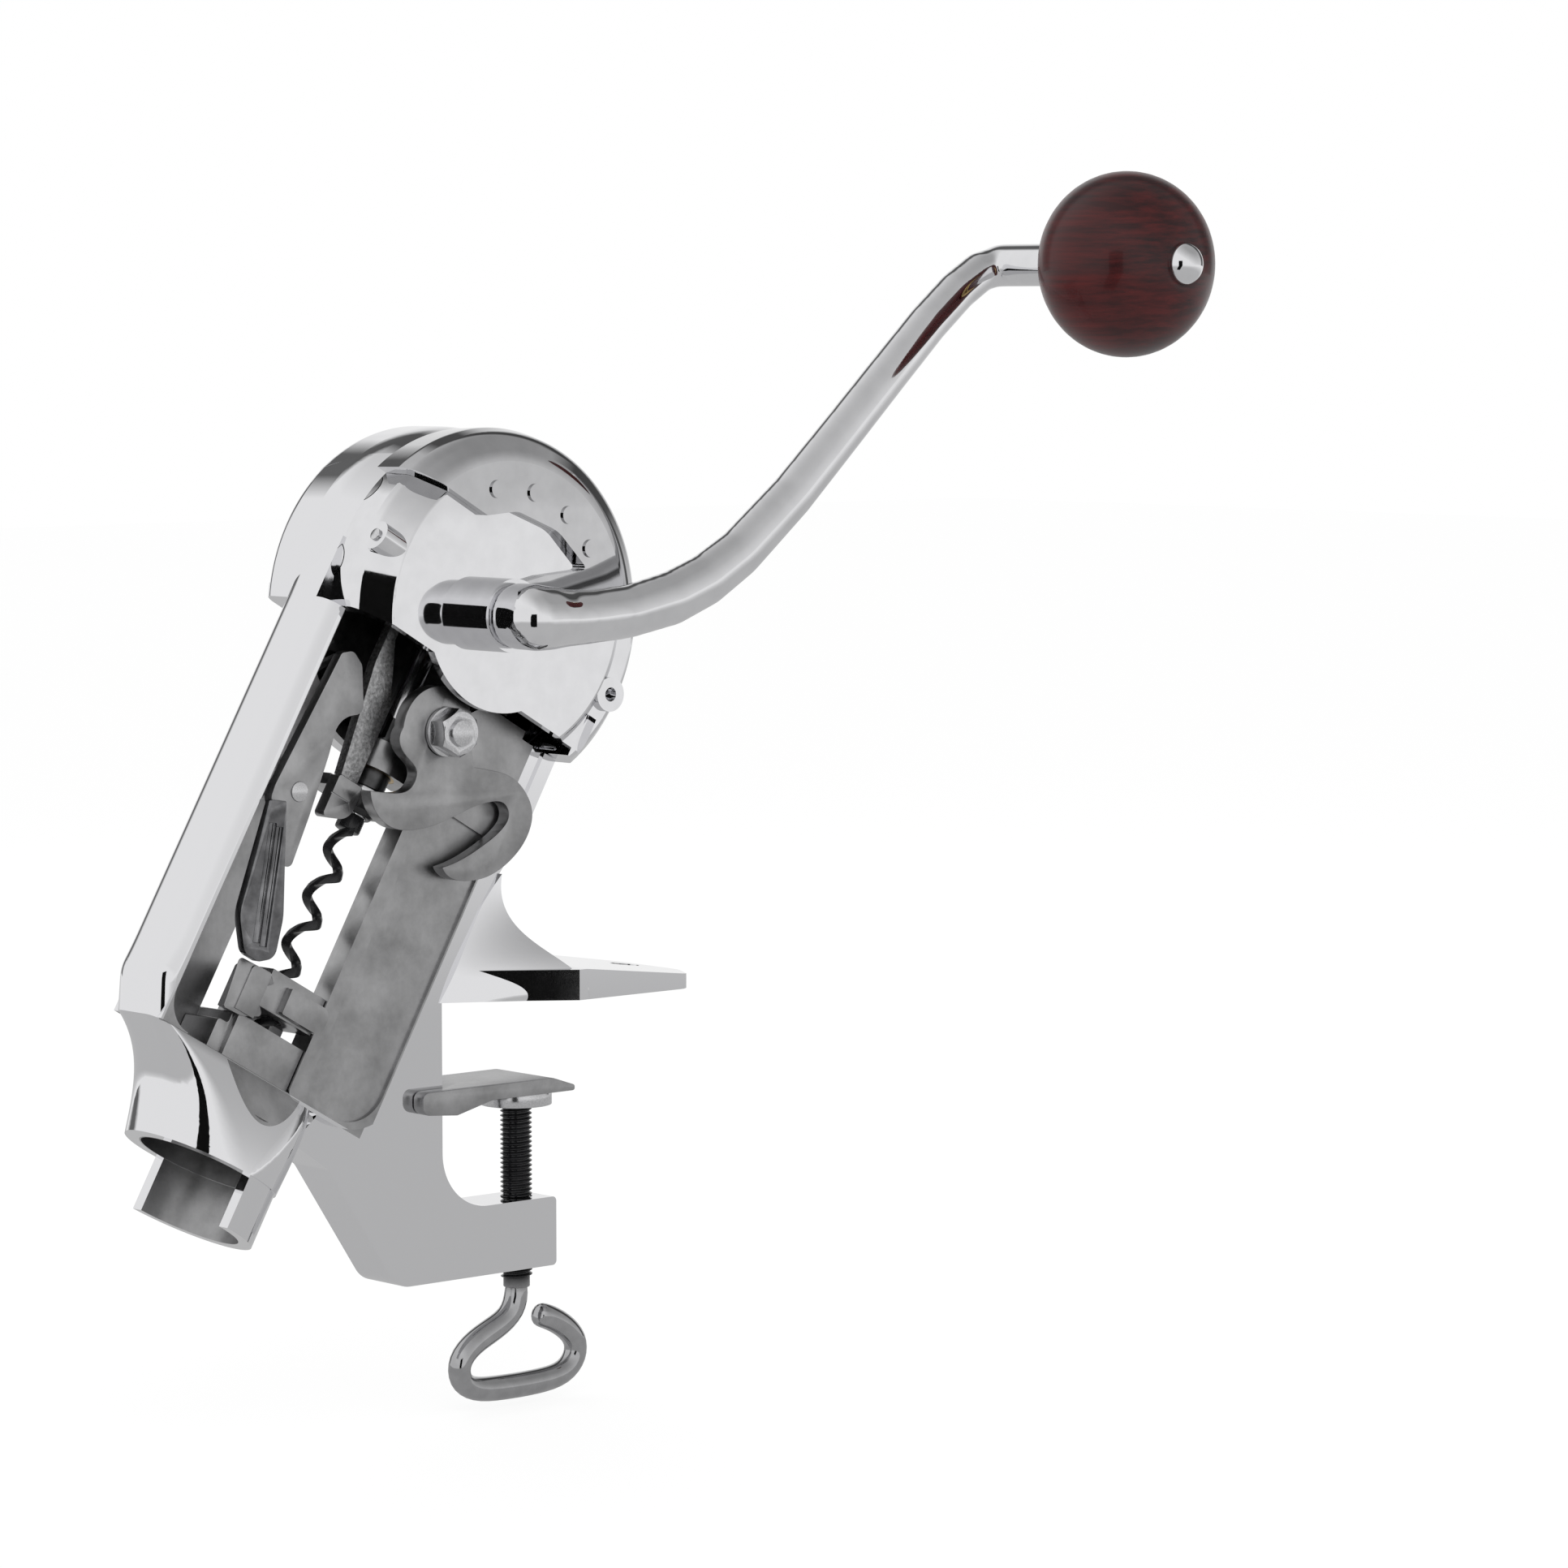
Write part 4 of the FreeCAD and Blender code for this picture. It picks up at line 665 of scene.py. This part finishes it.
def floor_stage():
    """Pale floor under the lowest point of the part"""
    bpy.ops.object.select_all(action="DESELECT")
    bpy.ops.mesh.primitive_plane_add(size=FLOOR_SIZE, location=(0.0, 0.0, cad_box[0][2] - FLOOR_DROP))
    floor = bpy.context.object
    floor.name = "floor"
    look = new_look("Floor")
    look.set(Base_Color=rgba(colours().floor), Roughness=0.9)
    shown, mirrored = rays(look)[:2]
    share = look.node("ShaderNodeMath", {"operation": "MAXIMUM"}, {0: shown, 1: mirrored}) * FLOOR_SHARE
    away = look.node("ShaderNodeVectorMath", {"operation": "LENGTH"}, {0: look.point()}, "Value")
    mirror_level = MIRROR_NEAR + away.ramp(1.0, 2.5) * MIRROR_RISE
    glow = look.node("ShaderNodeEmission", {}, {"Color": (1.0, 1.0, 1.0, 1.0),
                                                "Strength": shown * FLOOR_SHOWN + mirrored * mirror_level})
    out = next(n for n in look.tree.nodes if n.type == "OUTPUT_MATERIAL")
    mix = look.tree.nodes.new("ShaderNodeMixShader")
    look.feed(mix.inputs[0], share)
    look.tree.links.new(look.shader.outputs[0], mix.inputs[1])
    look.tree.links.new(glow.socket, mix.inputs[2])
    look.tree.links.new(mix.outputs[0], out.inputs["Surface"])
    floor.data.materials.append(look.owner)


def card(name, corners):
    """Black card that only the plating mirrors"""
    bpy.ops.object.select_all(action="DESELECT")
    bpy.ops.mesh.primitive_plane_add(size=1.0)
    sheet = bpy.context.object
    sheet.name = name
    order = (0, 1, 3, 2)
    for vertex, i in zip(sheet.data.vertices, order):
        vertex.co = corners[i]
    look = new_look(name)
    look.set(Base_Color=(0.006, 0.006, 0.006, 1.0), Roughness=1.0, Specular_IOR_Level=0.0)
    sheet.data.materials.append(look.owner)
    sheet.visible_camera = False
    sheet.visible_diffuse = False
    sheet.visible_shadow = False


def floor_card(name, azimuth, near, far, near_half, far_half):
    """Card just above the floor, at an azimuth from the front, between two distances"""
    turn = math.radians(azimuth)
    ahead = Vector((math.sin(turn), -math.cos(turn), 0.0))
    side = Vector((math.cos(turn), math.sin(turn), 0.0))
    level = Vector((0.0, 0.0, cad_box[0][2] + CARD_LIFT))
    card(name, [level + ahead * near - side * near_half, level + ahead * near + side * near_half,
                level + ahead * far + side * far_half, level + ahead * far - side * far_half])


def black_cards():
    """Dark room behind the camera and the strip of floor before it"""
    floor_card("card_floor", math.degrees(CAMERA_TURN), CARD_START, CARD_END, CARD_START_HALF, CARD_HALF)
    ahead = Vector((math.sin(CAMERA_TURN), -math.cos(CAMERA_TURN), 0.0)) * CARD_END
    side = Vector((math.cos(CAMERA_TURN), math.sin(CAMERA_TURN), 0.0)) * CARD_HALF
    low = Vector((0.0, 0.0, cad_box[0][2]))
    high = Vector((0.0, 0.0, CARD_TOP))
    card("card_camera", [ahead - side + low, ahead + side + low, ahead + side + high, ahead - side + high])


def lamp(name, place, toward, energy, width, height):
    """Soft box that lights the part but isn't mirrored in it"""
    bpy.ops.object.select_all(action="DESELECT")
    bpy.ops.object.light_add(type="AREA", location=place)
    made = bpy.context.object
    made.name = name
    made.rotation_euler = (Vector(place) - Vector(toward)).to_track_quat("Z", "Y").to_euler()
    made.data.shape = "RECTANGLE"
    made.data.size = width
    made.data.size_y = height
    made.data.energy = energy
    made.visible_glossy = False


def lamps():
    """Large soft boxes above and beside the part"""
    middle = (0.0, 0.0, 0.06)
    lamp("key", (-0.9, -1.2, 1.3), middle, 6.0, 1.2, 1.0)
    lamp("fill", (1.5, -0.9, 0.7), middle, 2.5, 0.9, 1.2)
    lamp("rim", (0.3, 1.3, 1.0), middle, 3.0, 1.4, 0.6)


def bright_world():
    """White surround for the camera; mirror rays see a greyer sky with dark flags beside the backdrop"""
    world = bpy.data.worlds.new("Studio")
    bpy.context.scene.world = world
    look = Look(world, "BACKGROUND")
    shown, mirrored, through = rays(look)
    way = look.node("ShaderNodeTexCoord", {}, {}, "Generated")
    toward = look.node("ShaderNodeVectorMath", {"operation": "DOT_PRODUCT"}, {0: way, 1: GREY_SKY}, "Value")
    beyond = look.node("ShaderNodeVectorMath", {"operation": "DOT_PRODUCT"}, {0: way, 1: FORWARD}, "Value")
    flags = beyond.ramp(0.42, 0.55) * (1.0 - beyond.ramp(0.72, 0.84))
    sky = (SKY_LEVEL - toward.ramp(0.35, 0.95) * 0.5) * (1.0 - flags * 0.85)
    level = look.node("ShaderNodeMath", {"operation": "MAXIMUM"}, {0: shown, 1: through})
    rest = look.node("ShaderNodeMath", {"operation": "SUBTRACT"}, {0: 1.0, 1: level}) - mirrored
    look.set(Color=(1.0, 1.0, 1.0, 1.0), Strength=level + mirrored * sky + rest * FILL_LEVEL)


def camera():
    """Camera at the place from which the photograph was taken"""
    flat = math.cos(CAMERA_TILT)
    back = Vector((math.sin(CAMERA_TURN) * flat, -math.cos(CAMERA_TURN) * flat, math.sin(CAMERA_TILT)))
    right = Vector((math.cos(CAMERA_TURN), math.sin(CAMERA_TURN), 0.0))
    up = back.cross(right)
    half = IMAGE_SIDE / 2
    ray = right * ((AIM_PIXEL[0] - half) / FOCAL_PIXELS) - up * ((AIM_PIXEL[1] - half) / FOCAL_PIXELS) - back
    place = AIM_POINT - ray * AIM_DISTANCE
    bpy.ops.object.select_all(action="DESELECT")
    bpy.ops.object.camera_add()
    made = bpy.context.object
    made.name = "camera"
    made.matrix_world = Matrix.Translation(place) @ Matrix((right, up, back)).transposed().to_4x4()
    made.data.sensor_width = SENSOR
    made.data.lens = FOCAL_PIXELS / IMAGE_SIDE * SENSOR
    made.data.clip_end = 50.0
    bpy.context.scene.camera = made


class CORKSCREW_OT_worm(bpy.types.Operator):
    """Wind the worm from a half round section"""
    bl_idname = "corkscrew.worm"
    bl_label = "Worm"

    lead_in: bpy.props.FloatProperty(name="Shank", default=5.0 * MM, unit="LENGTH")
    tip: bpy.props.FloatProperty(name="Tip", default=152.0 * MM, unit="LENGTH")
    top: bpy.props.FloatProperty(name="Top", default=70.7 * MM, unit="LENGTH")
    phase: bpy.props.FloatProperty(name="Phase", default=math.radians(-12.4), subtype="ANGLE")
    shank_radius: bpy.props.FloatProperty(name="Shank radius", default=4.0 * MM, unit="LENGTH")

    def section(self, turn, level, share):
        """Places of the wire's section at one turn, drawn in by share towards its middle"""
        outer = sizes().worm_outer
        core = sizes().worm_core
        half = 1.75 * MM
        middle = (outer + core) / 2
        profile = [(core, -half), (core + 0.1 * MM, -half * 0.4), (middle - 0.5 * MM, half * 0.75),
                   (middle + 0.3 * MM, half), (outer - 0.45 * MM, half * 0.4), (outer, -half * 0.75),
                   (outer - 0.1 * MM, -half), (middle, -half * 0.92)]
        places = []
        for radius, rise in profile:
            reach = middle + (radius - middle) * share
            places.append(Vector((reach * math.cos(turn), reach * math.sin(turn), level + rise * share)))
        return places

    def execute(self, context):
        start = -self.tip
        height = self.tip - self.top - self.lead_in
        steps = int(height / sizes().worm_lead * 28)
        taper = 16
        rings = []
        for i in range(steps + 1):
            turn = self.phase + 2 * math.pi * i * height / steps / sizes().worm_lead
            share = min(1.0, 0.12 + 0.88 * i / taper)
            rings.append(self.section(turn, start + height * i / steps, share))
        wire = extruded_bar("worm_wire", rings)
        clean_normals(wire)
        bpy.ops.object.select_all(action="DESELECT")
        bpy.ops.mesh.primitive_cylinder_add(vertices=40, radius=self.shank_radius, depth=self.lead_in,
                                            location=(0.0, 0.0, -self.top - self.lead_in / 2))
        shank = bpy.context.object
        bpy.ops.object.mode_set(mode="EDIT")
        bpy.ops.mesh.bevel(offset=0.6 * MM, segments=2)
        bpy.ops.object.mode_set(mode="OBJECT")
        bpy.ops.object.transform_apply(location=True, rotation=True, scale=True)
        shank.select_set(True)
        wire.select_set(True)
        bpy.context.view_layer.objects.active = wire
        bpy.ops.object.join()
        stand(wire)
        settle(wire, "worm", finish("black"), 50.0)
        return {"FINISHED"}


class CORKSCREW_OT_crank(bpy.types.Operator):
    """Draw out the crank arm from its hub to the neck of the knob"""
    bl_idname = "corkscrew.crank"
    bl_label = "Crank arm"

    def execute(self, context):
        plane = -sizes().arm_plane
        rows = [
            (12.0, -0.7, 0.0, 17.6, 16.4), (22.0, -0.5, 1.0, 16.8, 14.8), (36.0, 0.4, 5.0, 16.6, 13.2),
            (54.0, 4.0, 14.0, 17.2, 13.0), (68.0, 9.2, 25.0, 16.8, 12.6), (82.0, 17.2, 34.0, 16.0, 12.5),
            (104.0, 34.5, 41.0, 15.0, 12.5), (125.0, 53.6, 43.0, 14.4, 12.5), (145.0, 72.0, 43.0, 14.0, 12.5),
            (163.0, 88.4, 41.0, 13.7, 12.5), (176.0, 98.8, 36.0, 13.4, 12.8),
            (186.0, 104.8, 22.0, 13.2, 13.2), (195.0, 107.0, 6.0, 13.0, 13.4)]
        offset = SHAFT.copy()
        offset.y = 0.0
        ahead = Vector((0.0, 1.0, 0.0))
        rings = []
        hub = 10.2
        for y, radius in ((-35.5, hub - 0.5), (-36.1, hub), (-39.5, hub), (-43.0, hub), (-46.4, hub * 0.985)):
            middle = offset + Vector((0.0, y, 0.0)) * MM
            rings.append(ring_at(middle, Vector((1.0, 0.0, 0.0)), Vector((0.0, 0.0, 1.0)), radius * 2 * MM,
                                 radius * 2 * MM, 24))
        hub_bar = extruded_bar("crank_hub", rings)
        rings = []
        for x, z, angle, width, depth in rows:
            turn = math.radians(angle)
            middle = offset + Vector((x * MM, plane, z * MM))
            across = Vector((-math.sin(turn), 0.0, math.cos(turn)))
            rings.append(ring_at(middle, across, ahead, width * MM, depth * MM, 24))
        start = []
        for x, grow in ((-10.1, 0.25), (-9.0, 0.5), (-6.0, 0.82), (-1.5, 1.02), (5.0, 1.0)):
            middle = offset + Vector((x * MM, plane, -0.4 * MM))
            start.append(ring_at(middle, Vector((0.0, 0.0, 1.0)), ahead, 19.6 * grow * MM, 19.4 * grow * MM,
                                 24))
        arm = extruded_bar("crank_arm_bar", start + rings)
        rows_end = rows[-1]
        end = offset + Vector((rows_end[0] * MM, plane, rows_end[1] * MM))
        neck = []
        for y, radius in ((6.2, 2.5), (5.2, 4.6), (2.4, 6.5), (-2.0, 7.0), (-12.0, 7.0), (-22.0, 7.0),
                          (-29.3, 7.0), (-30.0, 6.6)):
            middle = end + Vector((0.0, y, 0.0)) * MM
            neck.append(ring_at(middle, Vector((1.0, 0.0, 0.0)), Vector((0.0, 0.0, 1.0)), radius * 2 * MM,
                                radius * 2 * MM, 24))
        neck_bar = extruded_bar("crank_neck", neck)
        for piece in (hub_bar, neck_bar, arm):
            clean_normals(piece)
        only(arm)
        hub_bar.select_set(True)
        neck_bar.select_set(True)
        bpy.ops.object.join()
        remesh = arm.modifiers.new("Melt together", "REMESH")
        remesh.mode = "VOXEL"
        remesh.voxel_size = 0.9 * MM
        relax = arm.modifiers.new("Relax", "SMOOTH")
        relax.factor = 0.6
        relax.iterations = 14
        apply_modifiers(arm)
        settle(arm, "crank_arm", finish("polished"), 60.0)
        return {"FINISHED"}


class CORKSCREW_OT_knob(bpy.types.Operator):
    """Turn the wooden knob and the domed cap of its pin"""
    bl_idname = "corkscrew.knob"
    bl_label = "Knob"

    def spun(self, name, profile, steps=96):
        """Piece of revolution about the knob's axis, from (radius, y) in millimetres"""
        low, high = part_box("wooden_knob")
        centre = (low + high) / 2
        bpy.ops.object.select_all(action="DESELECT")
        bpy.ops.mesh.primitive_circle_add(vertices=len(profile), radius=1.0, fill_type="NOTHING")
        piece = bpy.context.object
        piece.name = name
        for vertex, (radius, y) in zip(piece.data.vertices, profile):
            vertex.co = centre + Vector((radius * MM, y * MM, 0.0))
        bpy.ops.object.mode_set(mode="EDIT")
        bpy.ops.mesh.select_all(action="SELECT")
        bpy.ops.mesh.spin(steps=steps, angle=2 * math.pi, center=centre, axis=(0.0, 1.0, 0.0))
        bpy.ops.object.mode_set(mode="OBJECT")
        clean_normals(piece)
        return piece

    def execute(self, context):
        half = sizes().knob_half / MM
        radius = sizes().knob_radius / MM
        bore = 4.1
        profile = [(bore, -half + 1.6)]
        count = 28
        for i in range(count + 1):
            turn = math.radians(-80.0 + 160.0 * i / count)
            profile.append((radius * math.cos(turn) ** 0.92, half * math.sin(turn)))
        profile.append((bore, half - 1.6))
        knob = self.spun("turned_knob", profile)
        settle(knob, "wooden_knob", finish("wood"), 50.0)
        front = -half
        pin = [(0.0, front - 4.9), (1.8, front - 4.7), (3.6, front - 4.0), (5.2, front - 2.7),
               (6.3, front - 1.2), (6.8, front + 0.2), (6.5, front + 0.8), (4.0, front + 0.9),
               (4.0, half + 14.0), (0.0, half + 14.0)]
        cap = self.spun("knob_cap", pin, 64)
        settle(cap, "knob_pin", finish("polished"), 50.0)
        return {"FINISHED"}


class CORKSCREW_OT_clamp_screw(bpy.types.Operator):
    """Cut the thread of the clamp screw and bend its eye"""
    bl_idname = "corkscrew.clamp_screw"
    bl_label = "Clamp screw"

    def eye_path(self, start):
        """Middle line of the bent end, in millimetres"""
        corners = [(0.0, start + 4.0), (0.0, start - 6.5), (-6.5, start - 11.4), (-17.0, start - 15.2),
                   (-23.6, start - 20.6), (-23.4, start - 27.4), (-17.4, start - 31.0), (-6.0, start - 31.6),
                   (8.0, start - 31.6), (19.0, start - 30.6), (24.4, start - 25.4), (24.2, start - 19.4),
                   (18.6, start - 14.2), (12.0, start - 10.9), (7.4, start - 9.6)]
        return [Vector((x, 0.0, z)) * MM for x, z in corners]

    def execute(self, context):
        wire = sizes().eye_wire
        path = self.eye_path(SCREW_END)
        rings = []
        for i, place in enumerate(path):
            before = path[max(i - 1, 0)]
            after = path[min(i + 1, len(path) - 1)]
            along = (after - before).normalized()
            across = Vector((along.z, 0.0, -along.x))
            ends = 0.96 if i in (0, len(path) - 1) else 1.0
            rings.append(ring_at(place, across, Vector((0.0, 1.0, 0.0)), wire * 2.1 * ends,
                                 wire * 2.0 * ends, 16))
        eye = extruded_bar("clamp_screw_eye", rings)
        clean_normals(eye)
        finer = eye.modifiers.new("Round", "SUBSURF")
        finer.levels = 2
        finer.render_levels = 2
        apply_modifiers(eye)
        thread = self.thread()
        only(eye)
        thread.select_set(True)
        bpy.ops.object.join()
        settle(eye, "clamp_screw", finish("screw"), 45.0)
        return {"FINISHED"}

    def thread(self):
        """Threaded rod from a zigzag profile wound by a screw modifier"""
        outer = sizes().thread_radius / MM
        root = outer - sizes().thread_depth / MM
        pitch = sizes().thread_pitch / MM
        turns = int((SCREW_TOP - SCREW_END - 6.0) / pitch)
        bpy.ops.object.select_all(action="DESELECT")
        bpy.ops.mesh.primitive_circle_add(vertices=5, radius=1.0, fill_type="NOTHING")
        rod = bpy.context.object
        rod.name = "clamp_screw_thread"
        low = SCREW_END + 2.0
        zigzag = [(root, low), (root, low + pitch * 0.15), (outer, low + pitch * 0.48),
                  (outer, low + pitch * 0.62), (root, low + pitch * 0.98)]
        for vertex, (radius, z) in zip(rod.data.vertices, zigzag):
            vertex.co = Vector((radius, 0.0, z)) * MM
        wind = rod.modifiers.new("Wind", "SCREW")
        wind.screw_offset = pitch * MM
        wind.iterations = turns
        wind.steps = 28
        wind.render_steps = 28
        wind.use_merge_vertices = False
        apply_modifiers(rod)
        clean_normals(rod)
        bpy.ops.object.select_all(action="DESELECT")
        bpy.ops.mesh.primitive_cylinder_add(vertices=40, radius=(root + 0.05) * MM,
                                            depth=(SCREW_TOP - SCREW_END) * MM,
                                            location=(0.0, 0.0, (SCREW_TOP + SCREW_END) / 2 * MM))
        core = bpy.context.object
        bpy.ops.object.mode_set(mode="EDIT")
        bpy.ops.mesh.bevel(offset=0.4 * MM, segments=2)
        bpy.ops.object.mode_set(mode="OBJECT")
        bpy.ops.object.transform_apply(location=True, rotation=True, scale=True)
        only(rod)
        core.select_set(True)
        bpy.ops.object.join()
        return rod


class CORKSCREW_PT_sidebar(bpy.types.Panel):
    """Corkscrew operators and settings"""
    bl_idname = "CORKSCREW_PT_sidebar"
    bl_label = "Corkscrew"
    bl_space_type = "VIEW_3D"
    bl_region_type = "UI"
    bl_category = "Corkscrew"

    def draw(self, context):
        for operator in OPERATORS:
            self.layout.operator(operator.bl_idname)
        for group in (context.scene.corkscrew_sizes, context.scene.corkscrew_colours):
            box = self.layout.box()
            for key in group.bl_rna.properties.keys():
                if key not in ("rna_type", "name"):
                    box.prop(group, key)


OPERATORS = (CORKSCREW_OT_casting, CORKSCREW_OT_head, CORKSCREW_OT_levers, CORKSCREW_OT_fittings,
             CORKSCREW_OT_worm, CORKSCREW_OT_crank, CORKSCREW_OT_knob, CORKSCREW_OT_clamp_screw,
             CORKSCREW_OT_stage)
CLASSES = (CorkscrewSizes, CorkscrewColours) + OPERATORS + (CORKSCREW_PT_sidebar,)


def register():
    for cls in CLASSES:
        bpy.utils.register_class(cls)
    bpy.types.Scene.corkscrew_sizes = bpy.props.PointerProperty(type=CorkscrewSizes)
    bpy.types.Scene.corkscrew_colours = bpy.props.PointerProperty(type=CorkscrewColours)


def unregister():
    del bpy.types.Scene.corkscrew_sizes
    del bpy.types.Scene.corkscrew_colours
    for cls in reversed(CLASSES):
        bpy.utils.unregister_class(cls)


def main():
    register()
    bpy.context.scene.view_settings.view_transform = "Standard"
    bpy.ops.object.select_all(action="DESELECT")
    bpy.ops.corkscrew.casting()
    bpy.ops.corkscrew.head()
    bpy.ops.corkscrew.levers()
    bpy.ops.corkscrew.fittings()
    bpy.ops.corkscrew.worm()
    bpy.ops.corkscrew.crank()
    bpy.ops.corkscrew.knob()
    bpy.ops.corkscrew.clamp_screw()
    bpy.ops.corkscrew.stage()


if __name__ == "__main__":
    main()
